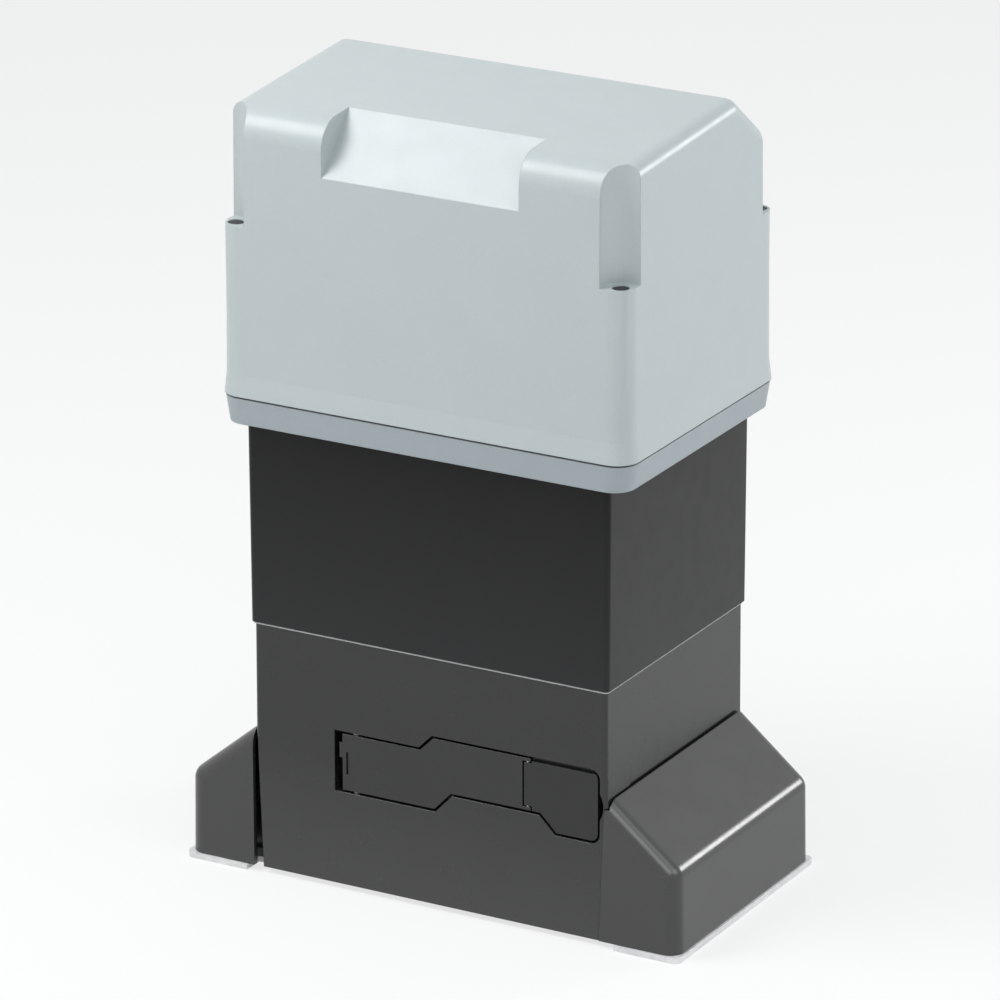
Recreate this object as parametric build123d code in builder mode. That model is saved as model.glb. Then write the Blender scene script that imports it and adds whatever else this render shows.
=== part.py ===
from build123d import *
from math import acos, atan, cos, degrees, pi, radians, sin, sqrt, tan
import os

# Sliding gate motor, in millimetres.
# The origin is at the centre of the foundation plate's underside. +Z points up, +X runs to the
# right along the gate's travel, and the front with the release lever faces -Y.

os.makedirs("parts", exist_ok=True)

# Clearances: turning fits, seats of fixed pieces, and faces of pieces that move past each other

running_gap = 0.05
bearing_gap = 0.03
parting_gap = 0.3

# Castings

housing_length = 199.2
housing_depth = 142.8
joint_height = 133.8
upper_housing_height = 108.4
housing_step = 1.5
housing_draft = 0.25
housing_corner_radius = 2.5
cavity_radius = 6.0
housing_wall = 5.0
gasket_thickness = 1.0
upper_floor_thickness = 8.0
sump_floor_height = 24.0
sump_floor_thickness = 5.0
side_wall_thickness = 8.6
side_relief_bottom = 4.2
side_relief_top = 1.4
side_relief_height = 70.0
boss_wall = 4.0
shaft_clearance = 2.0

foot_reach = 29.0
foot_inset = 19.4
foot_thickness = 12.0
foot_slot_length = 28.0
foot_slot_width = 12.0
rib_thickness = 5.0
rib_height = 26.0

duct_length = 24.0
duct_width = 28.0
duct_wall = 3.0
duct_overlap = 1.0
duct_back_gap = 15.4
entry_radius = 16.0
grommet_wall = 2.0
grommet_flange = 3.0

joint_screw_inset = 6.2
joint_screw_radius = 3.0
joint_screw_depth = 18.0
joint_screw_head = 5.0
joint_screw_head_height = 6.0
screw_boss_radius = 7.0
screw_boss_height = 26.0

oil_plug_radius = 6.0
oil_plug_head = 6.0
oil_plug_inset = 27.0
oil_drain_rise = 9.0
oil_filler_drop = 17.8

# Foundation plate and its fasteners

plate_thickness = 3.0
plate_margin_x = 2.0
plate_margin_y = 1.0
plate_notch_depth = 12.0
plate_notch_side = 5.4
plate_corner_radius = 4.0
anchor_inset_x = 20.9
anchor_inset_y = 10.6
anchor_hole_radius = 5.5
stud_radius = 5.0
stud_length = 29.0
stud_reach = 16.4
stud_inset = 18.0
nut_across_flats = 17.0
nut_height = 8.0
washer_radius = 10.0
washer_thickness = 2.0

# Side caps

cap_reach = 39.3
cap_outer_height = 46.0
cap_inner_height = 77.2
cap_proud = 1.2
cap_wall = 3.0
cap_edge_radius = 8.0
cap_side_gap = 1.6
cap_draft = 1.0

# Worm gear

axis_height = 75.0
wheel_plane = 2.0
gear_module = 2.5
wheel_teeth = 30
pressure_angle = 20.0
tooth_backlash = 0.34
pinion_backlash = 0.2
dedendum = 1.2
worm_pitch_radius = 11.0
worm_length = 36.0
wheel_width = 18.0
wheel_rim_radius = 26.0
wheel_hub_radius = 19.0
wheel_hub_length = 8.0

small_bearing_radius = 16.0
small_bearing_width = 9.0
large_bearing_radius = 26.0
large_bearing_width = 15.0
front_bearing_radius = 23.5
front_bearing_width = 12.0
hub_bearing_gap = 6.0
rear_bearing_inset = 19.4
worm_boss_height = 12.0

# Output shaft and pinion

output_shaft_radius = 12.5
shaft_stub = 3.0
seal_radius = 20.0
seal_width = 7.0
spacer_wall = 4.0
pinion_module = 4.0
pinion_teeth = 16
pinion_width = 26.0
pinion_gap = 5.85
key_width = 8.0
key_height = 7.0
key_length = 20.0
end_washer_radius = 17.0
end_washer_thickness = 3.0
end_bolt_radius = 5.0
end_bolt_head = 6.4
end_bolt_length = 22.0

# Release clutch on the output shaft

dog_count = 4
dog_inner_radius = 15.0
dog_outer_radius = 22.0
dog_width = 8.0
dog_height = 3.6
release_travel = 4.5
sleeve_radius = 23.0
sleeve_length = 14.0
release_rod_radius = 4.0
cross_pin_radius = 2.5
push_plate_thickness = 3.0
push_plate_height = 16.0
push_plate_gap = 1.7
spring_turns = 4
spring_wire = 2.4
spring_end_gap = 0.4

# Motor and its oil bath clutch

motor_shaft_radius = 7.5
motor_shaft_end = 10.0
stator_rise = 23.2
stator_radius = 45.0
stator_bore_radius = 26.0
stator_slots = 12
stator_slot_width = 6.0
stator_slot_depth = 9.0
stator_height = 56.0
air_gap = 0.4
flange_floor = 10.0
flange_wall = 4.0
winding_outer_radius = 39.0
winding_inner_radius = 28.0
winding_height = 11.0
adjuster_radius = 3.0
adjuster_head_radius = 6.5
adjuster_head = 5.0
adjuster_slot = 1.4

clutch_drop = 17.8
clutch_radius = 28.0
clutch_wall = 3.0
clutch_disc_thickness = 2.5
clutch_disc_gap = 0.05
clutch_discs = 4
clutch_spring_height = 1.6
clutch_spring_wall = 1.0

# Release lever with its lock: places along X run from the lever's left end or its handle end,
# and heights are taken from the output axis

lever_length = 145.0
lever_right_inset = 4.6
lever_thickness = 6.5
lever_inset = 0.2
lever_gap = 1.3
lever_end_gap = 4.0
lever_corner_radius = 4.0
lever_heel_radius = 1.0
left_low = -21.0
left_high = 9.0
middle_low = -11.0
handle_low = -20.0
lever_top = 16.5
low_jog_start = 53.0
low_jog_length = 9.5
high_jog_start = 52.5
high_jog_length = 7.5
handle_jog_end = 23.0
handle_jog_length = 9.0
tick_inset = 3.2
tick_width = 1.2
tick_low = -12.5
tick_high = -0.5

hinge_inset = 7.0
hinge_depth = 3.3
hinge_pin_radius = 2.0
pin_seat = 4.0
pocket_depth = 9.0
pocket_block_depth = 24.0
cam_base = 4.0
cam_thickness = 8.0
cam_skin = 0.3
rod_gap = 0.15

flap_length = 42.0
flap_thickness = 2.4
flap_gap = 0.8
flap_top_gap = 1.2
flap_pin_radius = 0.8
flap_pin_inset = 2.4
flap_lug = 1.6
flap_lug_reach = 2.0
lock_inset = 21.0
lock_rise = -2.0
lock_radius = 7.0
lock_boss_radius = 9.5
lock_boss_length = 7.5
latch_thickness = 3.0
latch_reach = 14.0
latch_width = 7.0
latch_room = 1.1
key_slot_length = 8.0
key_slot_width = 1.4

notch_radius = 13.5
notch_rise = -1.5
notch_reach = 3.2
notch_depth = 6.0

# Cover base

tray_skirt = 3.0
tray_band = 10.4
tray_overhang_x = 11.3
tray_overhang_y = 5.4
tray_seam_inset = 0.5
tray_wall = 3.0
tray_floor_thickness = 3.0
tray_spigot_height = 5.0
tray_opening_length = 70.0
tray_opening_depth = 84.0
spigot_gap = 0.9
tray_screw_inset = 5.8
tray_screw_radius = 2.5
tray_screw_head = 4.5
tray_screw_depth = 14.0
seal_height = 1.0
seal_inset = 1.0

# Cover

cover_height = 153.4
cover_overhang_x = 14.0
cover_overhang_y = 6.8
cover_wall = 3.0
cover_corner_radius = 12.0
cover_draft = 0.6
lip_height = 11.0
lip_flare = 1.3
ledge_drop = 66.0
front_drop = 7.5
ridge_inset = 43.0
back_drop = 34.0
front_edge_radius = 15.0
side_edge_radius = 7.0
ridge_radius = 9.0
back_edge_radius = 5.0
groove_radius = 14.5
panel_half_length = 54.5
panel_drop = 34.7
panel_inset = 29.5
cover_screw_radius = 2.4
cover_screw_head = 4.0
cover_screw_head_height = 3.0
cover_screw_recess = 0.5
cover_screw_inset = 6.4
cover_boss_radius = 5.5
cover_screw_depth = 6.0

# Electrical parts under the cover

board_length = 120.0
board_inset_x = 10.4
board_inset_y = 25.0
board_leg_height = 25.8
board_thickness = 1.6
board_corner_radius = 3.0
holder_thickness = 3.0
holder_leg = 9.0
terminal_count = 5
terminal_length = 19.0
terminal_pitch = 22.0
terminal_depth = 10.0
terminal_height = 13.0
relay_count = 3
relay_length = 16.0
relay_pitch = 20.0
relay_depth = 28.0
relay_height = 16.0
transformer_inset_x = 30.0
transformer_inset_y = 28.0
core_length = 44.0
core_depth = 18.0
core_height = 38.0
coil_length = 30.0
coil_depth = 36.0
coil_height = 28.0
coil_radius = 4.0
capacitor_side_gap = 25.4
capacitor_front_gap = 22.2
capacitor_radius = 20.0
capacitor_height = 84.0
capacitor_tag_width = 7.0
capacitor_tag_height = 8.0
capacitor_tag_thickness = 1.0
clamp_thickness = 1.5
clamp_height = 14.0
clamp_rise = 47.2
clamp_arm = 12.0
sensor_width = 34.0
sensor_height = 30.0
sensor_depth = 14.0
sensor_rise = 17.2
sensor_radius = 3.0
bracket_thickness = 2.0
bracket_lip = 2.0

# Places worked out from the sizes above

upper_bottom = joint_height + gasket_thickness
upper_floor_top = upper_bottom + upper_floor_thickness
upper_housing_top = upper_bottom + upper_housing_height
upper_length = housing_length + 2 * housing_step
upper_depth = housing_depth + 2 * housing_step
lower_flare = (joint_height - plate_thickness) * tan(radians(housing_draft))
upper_flare = upper_housing_height * tan(radians(housing_draft))
side_inner_x = housing_length / 2 - side_wall_thickness
end_inner_y = housing_depth / 2 - housing_wall
upper_inner_x = upper_length / 2 - housing_wall
upper_inner_y = upper_depth / 2 - housing_wall
housing_front = -housing_depth / 2 - (joint_height - axis_height) * tan(radians(housing_draft))
housing_back = -housing_front
joint_screw_x = side_inner_x - joint_screw_inset
joint_screw_y = end_inner_y - joint_screw_inset
duct_x = side_inner_x + duct_overlap - duct_wall - duct_length / 2
duct_y = end_inner_y - duct_back_gap - duct_wall - duct_width / 2
oil_plug_x = oil_plug_inset - side_inner_x
oil_plug_places = [(oil_plug_x, sump_floor_height + oil_drain_rise), (oil_plug_x, joint_height - oil_filler_drop)]

cap_outer_x = housing_length / 2 + cap_reach
cap_half_depth = housing_depth / 2 + cap_proud
plate_length = 2 * (cap_outer_x + plate_margin_x)
plate_depth = 2 * (cap_half_depth + plate_margin_y)
plate_notch_length = housing_length + 2 * plate_notch_side
anchor_spacing_x = 2 * (cap_outer_x - anchor_inset_x)
anchor_spacing_y = 2 * (cap_half_depth - anchor_inset_y)
foot_top = plate_thickness + foot_thickness
foot_depth = housing_depth - 2 * foot_inset
stud_spacing_x = housing_length + 2 * stud_reach
stud_spacing_y = foot_depth - 2 * stud_inset

wheel_pitch_radius = gear_module * wheel_teeth / 2
motor_x = -(wheel_pitch_radius + worm_pitch_radius)
motor_y = wheel_plane
worm_lead_slope = gear_module / (2 * worm_pitch_radius)
wheel_front = wheel_plane - wheel_width / 2
wheel_back = wheel_plane + wheel_width / 2
sleeve_front = wheel_back + dog_height + parting_gap
sleeve_back = sleeve_front + sleeve_length
cross_pin_y = sleeve_front + sleeve_length / 2
release_rod_back = cross_pin_y + 2 * cross_pin_radius
front_bearing_front = wheel_front - wheel_hub_length - hub_bearing_gap - front_bearing_width
rear_bearing_front = end_inner_y - rear_bearing_inset
shaft_front = front_bearing_front - shaft_stub
seal_front = housing_back - seal_width
spacer_radius = output_shaft_radius + spacer_wall
spacer_front = rear_bearing_front + large_bearing_width + parting_gap
pinion_front = housing_back + pinion_gap
pinion_back = pinion_front + pinion_width
pinion_pitch_radius = pinion_module * pinion_teeth / 2
key_seat = output_shaft_radius - key_height / 2

clutch_bottom = joint_height - clutch_drop
clutch_floor_top = clutch_bottom + clutch_wall
clutch_pack_top = clutch_floor_top + clutch_discs * clutch_disc_thickness
worm_bearing_low = sump_floor_height + worm_boss_height
worm_bearing_high = clutch_bottom - small_bearing_width - clutch_wall / 3
stator_bottom = upper_floor_top + stator_rise
stator_top = stator_bottom + stator_height
upper_flange_top = stator_top + winding_height + flange_floor + clutch_wall / 3
motor_shaft_top = upper_flange_top + motor_shaft_end

lever_right = housing_length / 2 - lever_right_inset
lever_left = lever_right - lever_length
lever_left_low = axis_height + left_low
lever_left_high = axis_height + left_high
lever_mid_low = axis_height + middle_low
lever_handle_low = axis_height + handle_low
lever_high = axis_height + lever_top
low_jog_x = lever_left + low_jog_start
high_jog_x = lever_left + high_jog_start
handle_jog_x = lever_right - handle_jog_end - handle_jog_length
lever_front = housing_front + lever_inset
lever_back = lever_front + lever_thickness
hinge_x = lever_left + hinge_inset
hinge_y = lever_front + hinge_depth
pocket_back = housing_front + pocket_depth
block_back = housing_front + pocket_block_depth
cam_slope = release_travel / (pi / 2)
bay_radius = sqrt((cam_base + release_travel) ** 2 + cam_slope ** 2) + parting_gap
rod_tip_y = hinge_y + cam_base + rod_gap
push_plate_front = block_back + push_plate_gap
push_plate_back = push_plate_front + push_plate_thickness
release_rod_front = push_plate_back + parting_gap
lock_x = lever_right - lock_inset
lock_height = axis_height + lock_rise
boss_back = lever_back + lock_boss_length
latch_front = boss_back + parting_gap
latch_back = latch_front + latch_thickness
flap_split = lever_right - flap_length
flap_back = lever_front + flap_thickness
flap_pin_x = flap_split + flap_pin_inset
flap_pin_y = lever_front + flap_thickness / 2
flap_relief_radius = sqrt(flap_pin_inset ** 2 + (flap_thickness / 2) ** 2) + running_gap

tray_bottom = upper_housing_top - tray_skirt
tray_band_top = upper_housing_top + tray_band
tray_floor_top = upper_housing_top + tray_floor_thickness
seam_height = tray_band_top + seal_height
tray_bottom_x = upper_length / 2 + tray_overhang_x
tray_bottom_y = upper_depth / 2 + tray_overhang_y
tray_screw_x = upper_inner_x - tray_screw_inset
tray_screw_y = upper_inner_y - tray_screw_inset
cover_half_x = upper_length / 2 + cover_overhang_x
cover_half_y = upper_depth / 2 + cover_overhang_y
tray_top_x = cover_half_x - tray_seam_inset
tray_top_y = cover_half_y - tray_seam_inset
spigot_top = tray_band_top + tray_spigot_height
ridge_height = seam_height + cover_height
ridge_y = cover_half_y - ridge_inset
cover_front_height = ridge_height - front_drop
cover_back_height = ridge_height - back_drop
ledge_height = ridge_height - ledge_drop
panel_low = ridge_height - panel_drop
panel_back = cover_half_y - panel_inset
cover_shrink = lip_flare + (ledge_height - seam_height - lip_height) * tan(radians(cover_draft))
cover_screw_x = cover_half_x - cover_shrink - cover_screw_inset
cover_screw_y = cover_half_y - cover_shrink - cover_screw_inset

board_height = tray_floor_top + board_leg_height
board_depth = 2 * (cover_half_y - board_inset_y)
board_x = cover_half_x - board_inset_x - board_length / 2
board_top = board_height + board_thickness
leg_spacing_x = board_length - 2 * holder_leg
leg_spacing_y = board_depth - holder_leg
capacitor_x = upper_inner_x - capacitor_side_gap - capacitor_radius
capacitor_y = capacitor_radius + capacitor_front_gap - upper_inner_y


def export(part, name):
    part.label = name
    export_step(part, f"parts/{name}.step")


def front_plane(y):
    """A plane across Y, drawn as seen from the front: x right, z up, its normal to the front."""
    return Plane(origin=(0, y, 0), x_dir=(1, 0, 0), z_dir=(0, -1, 0))


def axis_plane(y):
    """A plane across the output axis at y, whose normal points to the back."""
    return Plane(origin=(0, y, axis_height), x_dir=(-1, 0, 0), z_dir=(0, 1, 0))


def motor_plane(z):
    """A level plane at height z, centred on the motor's upright axis."""
    return Plane(origin=(motor_x, motor_y, z))


def ring(plane, outer, inner, length):
    with BuildPart() as body:
        with BuildSketch(plane):
            Circle(outer)
            Circle(inner, mode=Mode.SUBTRACT)
        extrude(amount=length)
    return body.part


def bearing_pair(low, high):
    """Two equal bearings on the motor's axis."""
    with BuildPart() as bearings:
        for z in (low, high):
            with BuildSketch(motor_plane(z)):
                Circle(small_bearing_radius)
                Circle(motor_shaft_radius + running_gap, mode=Mode.SUBTRACT)
            extrude(amount=small_bearing_width)
    return bearings.part


def rod(plane, radius, length):
    with BuildPart() as body:
        with BuildSketch(plane):
            Circle(radius)
        extrude(amount=length)
    return body.part


def hexagon_radius(across_flats):
    return across_flats / 2 / cos(pi / 6)


# Foundation


def make_foundation_plate():
    with BuildPart() as plate:
        with BuildSketch():
            RectangleRounded(plate_length, plate_depth, plate_corner_radius)
            with Locations((0, plate_depth / 2), (0, -plate_depth / 2)):
                Rectangle(plate_notch_length, 2 * plate_notch_depth, mode=Mode.SUBTRACT)
            with GridLocations(anchor_spacing_x, anchor_spacing_y, 2, 2):
                Circle(anchor_hole_radius, mode=Mode.SUBTRACT)
            with Locations((duct_x, duct_y)):
                Circle(entry_radius, mode=Mode.SUBTRACT)
        extrude(amount=plate_thickness)
        with BuildSketch(Plane.XY.offset(plate_thickness)):
            with GridLocations(stud_spacing_x, stud_spacing_y, 2, 2):
                Circle(stud_radius)
        extrude(amount=stud_length)
    return plate.part


def make_foundation_washers():
    with BuildPart() as washers:
        with BuildSketch(Plane.XY.offset(foot_top)):
            with GridLocations(stud_spacing_x, stud_spacing_y, 2, 2):
                Circle(washer_radius)
                Circle(stud_radius + running_gap, mode=Mode.SUBTRACT)
        extrude(amount=washer_thickness)
    return washers.part


def make_foundation_nuts():
    with BuildPart() as nuts:
        with BuildSketch(Plane.XY.offset(foot_top + washer_thickness)):
            with GridLocations(stud_spacing_x, stud_spacing_y, 2, 2):
                RegularPolygon(hexagon_radius(nut_across_flats), 6)
                Circle(stud_radius + running_gap, mode=Mode.SUBTRACT)
        extrude(amount=nut_height)
    return nuts.part


# Lower housing


def lever_outline(grow=0.0, end=0.0):
    """Corners of the lever's front, moved outwards by grow, and by end at the hinge end."""
    return [
        (lever_left - end, lever_left_low - grow),
        (low_jog_x + grow / 2, lever_left_low - grow),
        (low_jog_x + low_jog_length + grow / 2, lever_mid_low - grow),
        (handle_jog_x - grow / 2, lever_mid_low - grow),
        (handle_jog_x + handle_jog_length - grow / 2, lever_handle_low - grow),
        (lever_right + grow, lever_handle_low - grow),
        (lever_right + grow, lever_high + grow),
        (high_jog_x - grow / 2, lever_high + grow),
        (high_jog_x - high_jog_length - grow / 2, lever_left_high + grow),
        (lever_left - end, lever_left_high + grow),
    ]


def lever_prism(y, length, grow=0.0, end=0.0):
    """The lever's outline with its handle end rounded, drawn at y and extruded to the front."""
    with BuildPart() as prism:
        with BuildSketch(front_plane(y)) as face:
            with BuildLine():
                Polyline(*lever_outline(grow, end), close=True)
            make_face()
            fillet(face.vertices().group_by(Axis.X)[-1], lever_corner_radius + grow)
        extrude(amount=length)
    return prism.part


def latch_prism(y, length, room):
    """The lock boss and the upright latch with room around them, extruded to the front."""
    with BuildPart() as prism:
        with BuildSketch(front_plane(y)):
            with Locations((lock_x, lock_height)):
                Circle(lock_boss_radius + room)
            with Locations((lock_x, lock_height + (latch_reach + room) / 2)):
                Rectangle(latch_width + 2 * room, latch_reach + room)
        extrude(amount=length)
    return prism.part


def make_lower_housing():
    rise = joint_height - plate_thickness
    bottom_x = housing_length / 2 + lower_flare
    bottom_y = housing_depth / 2 + lower_flare
    with BuildPart() as housing:
        with BuildSketch(Plane.XY.offset(plate_thickness)):
            RectangleRounded(2 * bottom_x, 2 * bottom_y, housing_corner_radius)
        extrude(amount=rise, taper=housing_draft)
        with BuildSketch(Plane.XY.offset(sump_floor_height)):
            RectangleRounded(2 * side_inner_x, 2 * end_inner_y, cavity_radius)
        extrude(amount=rise, mode=Mode.SUBTRACT)
        with BuildSketch(Plane.XY.offset(plate_thickness)):
            RectangleRounded(2 * side_inner_x, 2 * end_inner_y, cavity_radius)
        extrude(amount=sump_floor_height - sump_floor_thickness - plate_thickness, mode=Mode.SUBTRACT)

        # Solid block behind the front wall for the release lever's pocket
        add(lever_prism(block_back, pocket_block_depth - 1, lever_gap + boss_wall, lever_end_gap + boss_wall))

        # The side walls step in behind the caps, more at the foot than at the top
        relief_top = plate_thickness + side_relief_height
        for side in (-1, 1):
            with BuildSketch(front_plane(0)):
                Polygon(
                    (side * (bottom_x + 1), plate_thickness),
                    (side * (bottom_x - side_relief_bottom), plate_thickness),
                    (side * (bottom_x - side_relief_top), relief_top),
                    (side * (bottom_x + 1), relief_top),
                    align=None,
                )
            extrude(amount=housing_depth, both=True, mode=Mode.SUBTRACT)

        # Slotted feet with ribs up to the side walls
        foot_inner = side_inner_x + 1
        foot_outer = bottom_x + foot_reach
        for side in (-1, 1):
            with BuildSketch(Plane.XY.offset(plate_thickness)):
                with Locations((side * (foot_inner + foot_outer) / 2, 0)):
                    Rectangle(foot_outer - foot_inner, foot_depth)
            extrude(amount=foot_thickness)
            for rib_y in (-(foot_depth - rib_thickness) / 2, 0, (foot_depth - rib_thickness) / 2):
                with BuildSketch(front_plane(rib_y)):
                    Polygon(
                        (side * foot_inner, foot_top),
                        (side * (foot_outer - rib_thickness), foot_top),
                        (side * (bottom_x - side_relief_bottom), foot_top + rib_height),
                        (side * foot_inner, foot_top + rib_height),
                        align=None,
                    )
                extrude(amount=rib_thickness / 2, both=True)
        with BuildSketch(Plane.XY.offset(plate_thickness)):
            with GridLocations(stud_spacing_x, stud_spacing_y, 2, 2):
                SlotOverall(foot_slot_length, foot_slot_width, rotation=90)
        extrude(amount=foot_thickness, mode=Mode.SUBTRACT)

        # Worm bearing seats: a boss on the sump floor and a shelf on the left wall
        with BuildSketch(motor_plane(sump_floor_height)):
            Circle(small_bearing_radius + boss_wall)
        extrude(amount=worm_bearing_low + small_bearing_width - sump_floor_height)
        with BuildSketch(motor_plane(worm_bearing_low)):
            Circle(small_bearing_radius + bearing_gap)
        extrude(amount=small_bearing_width, mode=Mode.SUBTRACT)
        with BuildSketch(motor_plane(worm_bearing_low)):
            Circle(motor_shaft_radius + shaft_clearance)
        extrude(amount=-boss_wall, mode=Mode.SUBTRACT)
        shelf_right = motor_x + small_bearing_radius + boss_wall - 1
        with BuildSketch(Plane.XY.offset(worm_bearing_high - 1)):
            with Locations(((shelf_right - foot_inner) / 2, motor_y)):
                Rectangle(shelf_right + foot_inner, 2 * (small_bearing_radius + boss_wall))
        extrude(amount=small_bearing_width + 1)
        with BuildSketch(motor_plane(worm_bearing_high - 1)):
            Circle(small_bearing_radius - 3)
        extrude(amount=small_bearing_width + 1, mode=Mode.SUBTRACT)
        with BuildSketch(motor_plane(worm_bearing_high)):
            Circle(small_bearing_radius + bearing_gap)
        extrude(amount=small_bearing_width, mode=Mode.SUBTRACT)

        # Output bearing seats: a pedestal in front of the wheel and a boss in the back wall
        pedestal_radius = front_bearing_radius + boss_wall
        with BuildSketch(axis_plane(front_bearing_front)):
            Circle(pedestal_radius)
            with Locations((0, (sump_floor_height - axis_height) / 2)):
                Rectangle(2 * pedestal_radius, axis_height - sump_floor_height)
            Circle(front_bearing_radius + bearing_gap, mode=Mode.SUBTRACT)
        extrude(amount=front_bearing_width)
        with BuildSketch(axis_plane(rear_bearing_front)):
            Circle(large_bearing_radius + boss_wall)
        extrude(amount=end_inner_y + 1 - rear_bearing_front)
        with BuildSketch(axis_plane(rear_bearing_front)):
            Circle(large_bearing_radius + bearing_gap)
        extrude(amount=large_bearing_width, mode=Mode.SUBTRACT)
        with BuildSketch(axis_plane(rear_bearing_front)):
            Circle(seal_radius - shaft_clearance)
        extrude(amount=housing_depth, mode=Mode.SUBTRACT)
        with BuildSketch(axis_plane(seal_front)):
            Circle(seal_radius + bearing_gap)
        extrude(amount=housing_depth, mode=Mode.SUBTRACT)

        # Cable duct from the foundation plate to the upper housing
        with BuildSketch(Plane.XY.offset(plate_thickness)):
            with Locations((duct_x, duct_y)):
                Rectangle(duct_length + 2 * duct_wall, duct_width + 2 * duct_wall)
        extrude(amount=rise)
        with BuildSketch(Plane.XY.offset(plate_thickness)):
            with Locations((duct_x, duct_y)):
                Rectangle(duct_length, duct_width)
        extrude(amount=rise, mode=Mode.SUBTRACT)

        # Bosses for the screws that join the two housings
        with BuildSketch(Plane.XY.offset(joint_height - screw_boss_height)):
            with GridLocations(2 * joint_screw_x, 2 * joint_screw_y, 2, 2):
                Circle(screw_boss_radius)
        extrude(amount=screw_boss_height)
        with BuildSketch(Plane.XY.offset(joint_height)):
            with GridLocations(2 * joint_screw_x, 2 * joint_screw_y, 2, 2):
                Circle(joint_screw_radius + running_gap)
        extrude(amount=-joint_screw_depth - 1, mode=Mode.SUBTRACT)

        # Pocket for the release lever, with its hinge bay, lock opening and finger notch
        add(lever_prism(pocket_back, 2 * pocket_depth, lever_gap, lever_end_gap), mode=Mode.SUBTRACT)
        bay_height = lever_left_high - lever_left_low + 2 * lever_gap
        with BuildSketch(Plane(origin=(hinge_x, hinge_y, lever_left_low - lever_gap))):
            Circle(bay_radius)
        extrude(amount=bay_height, mode=Mode.SUBTRACT)
        with BuildSketch(Plane(origin=(hinge_x, hinge_y, lever_left_low - lever_gap - pin_seat))):
            Circle(hinge_pin_radius + running_gap)
        extrude(amount=bay_height + 2 * pin_seat, mode=Mode.SUBTRACT)
        with BuildSketch(front_plane(block_back)):
            with Locations((hinge_x, axis_height)):
                Circle(release_rod_radius + running_gap)
        extrude(amount=pocket_block_depth - pocket_depth, mode=Mode.SUBTRACT)
        cell_back = latch_back + lever_gap
        add(latch_prism(cell_back, cell_back - pocket_back + 1, latch_room), mode=Mode.SUBTRACT)
        with BuildSketch(front_plane(cell_back)):
            with Locations((lock_x - lock_boss_radius, lock_height - lock_boss_radius)):
                cell_side = lock_boss_radius + latch_reach + latch_room
                Rectangle(cell_side, cell_side, align=(Align.MIN, Align.MIN))
        extrude(amount=latch_thickness + 1.5 * lever_gap, mode=Mode.SUBTRACT)
        with BuildSketch(front_plane(housing_front + notch_depth)):
            with Locations((lever_right + notch_reach - notch_radius, axis_height + notch_rise)):
                Circle(notch_radius)
        extrude(amount=2 * notch_depth, mode=Mode.SUBTRACT)

        # Oil plug holes in the back wall
        with BuildSketch(front_plane(end_inner_y - 1)):
            with Locations(*oil_plug_places):
                Circle(oil_plug_radius + running_gap)
        extrude(amount=-2 * housing_wall, mode=Mode.SUBTRACT)
    return housing.part


def make_oil_plugs():
    seat = housing_depth / 2 + lower_flare
    with BuildPart() as plugs:
        with BuildSketch(front_plane(seat)):
            with Locations(*oil_plug_places):
                RegularPolygon(hexagon_radius(nut_across_flats), 6)
        extrude(amount=-oil_plug_head)
        with BuildSketch(front_plane(seat)):
            with Locations(*oil_plug_places):
                Circle(oil_plug_radius)
        extrude(amount=seat - end_inner_y)
    return plugs.part


def make_housing_gasket():
    with BuildPart() as gasket:
        with BuildSketch(Plane.XY.offset(joint_height)):
            RectangleRounded(housing_length + housing_step, housing_depth + housing_step, housing_corner_radius)
            RectangleRounded(2 * side_inner_x, 2 * end_inner_y, cavity_radius, mode=Mode.SUBTRACT)
            with GridLocations(2 * joint_screw_x, 2 * joint_screw_y, 2, 2):
                Circle(screw_boss_radius)
            with GridLocations(2 * joint_screw_x, 2 * joint_screw_y, 2, 2):
                Circle(joint_screw_radius + parting_gap, mode=Mode.SUBTRACT)
            with Locations((duct_x, duct_y)):
                Rectangle(duct_length + 2 * duct_wall, duct_width + 2 * duct_wall)
                Rectangle(duct_length, duct_width, mode=Mode.SUBTRACT)
        extrude(amount=gasket_thickness)
    return gasket.part


def make_upper_housing():
    rise = upper_housing_top - upper_bottom
    with BuildPart() as housing:
        with BuildSketch(Plane.XY.offset(upper_bottom)):
            RectangleRounded(upper_length, upper_depth, housing_corner_radius)
        extrude(amount=rise, taper=-housing_draft)
        with BuildSketch(Plane.XY.offset(upper_floor_top)):
            RectangleRounded(upper_length - 2 * housing_wall, upper_depth - 2 * housing_wall, cavity_radius)
        extrude(amount=rise, mode=Mode.SUBTRACT)
        with BuildSketch(Plane.XY.offset(upper_bottom)):
            with Locations((motor_x, motor_y)):
                Circle(motor_shaft_radius + shaft_clearance)
            with Locations((duct_x, duct_y)):
                Rectangle(duct_length, duct_width)
            with GridLocations(2 * joint_screw_x, 2 * joint_screw_y, 2, 2):
                Circle(joint_screw_radius + parting_gap)
        extrude(amount=upper_floor_thickness, mode=Mode.SUBTRACT)
        with BuildSketch(Plane.XY.offset(upper_housing_top)):
            with GridLocations(2 * tray_screw_x, 2 * tray_screw_y, 2, 2):
                Circle(screw_boss_radius)
        extrude(amount=-screw_boss_height)
        with BuildSketch(Plane.XY.offset(upper_housing_top)):
            with GridLocations(2 * tray_screw_x, 2 * tray_screw_y, 2, 2):
                Circle(tray_screw_radius + running_gap)
        extrude(amount=-tray_screw_depth - 1, mode=Mode.SUBTRACT)
    return housing.part


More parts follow.
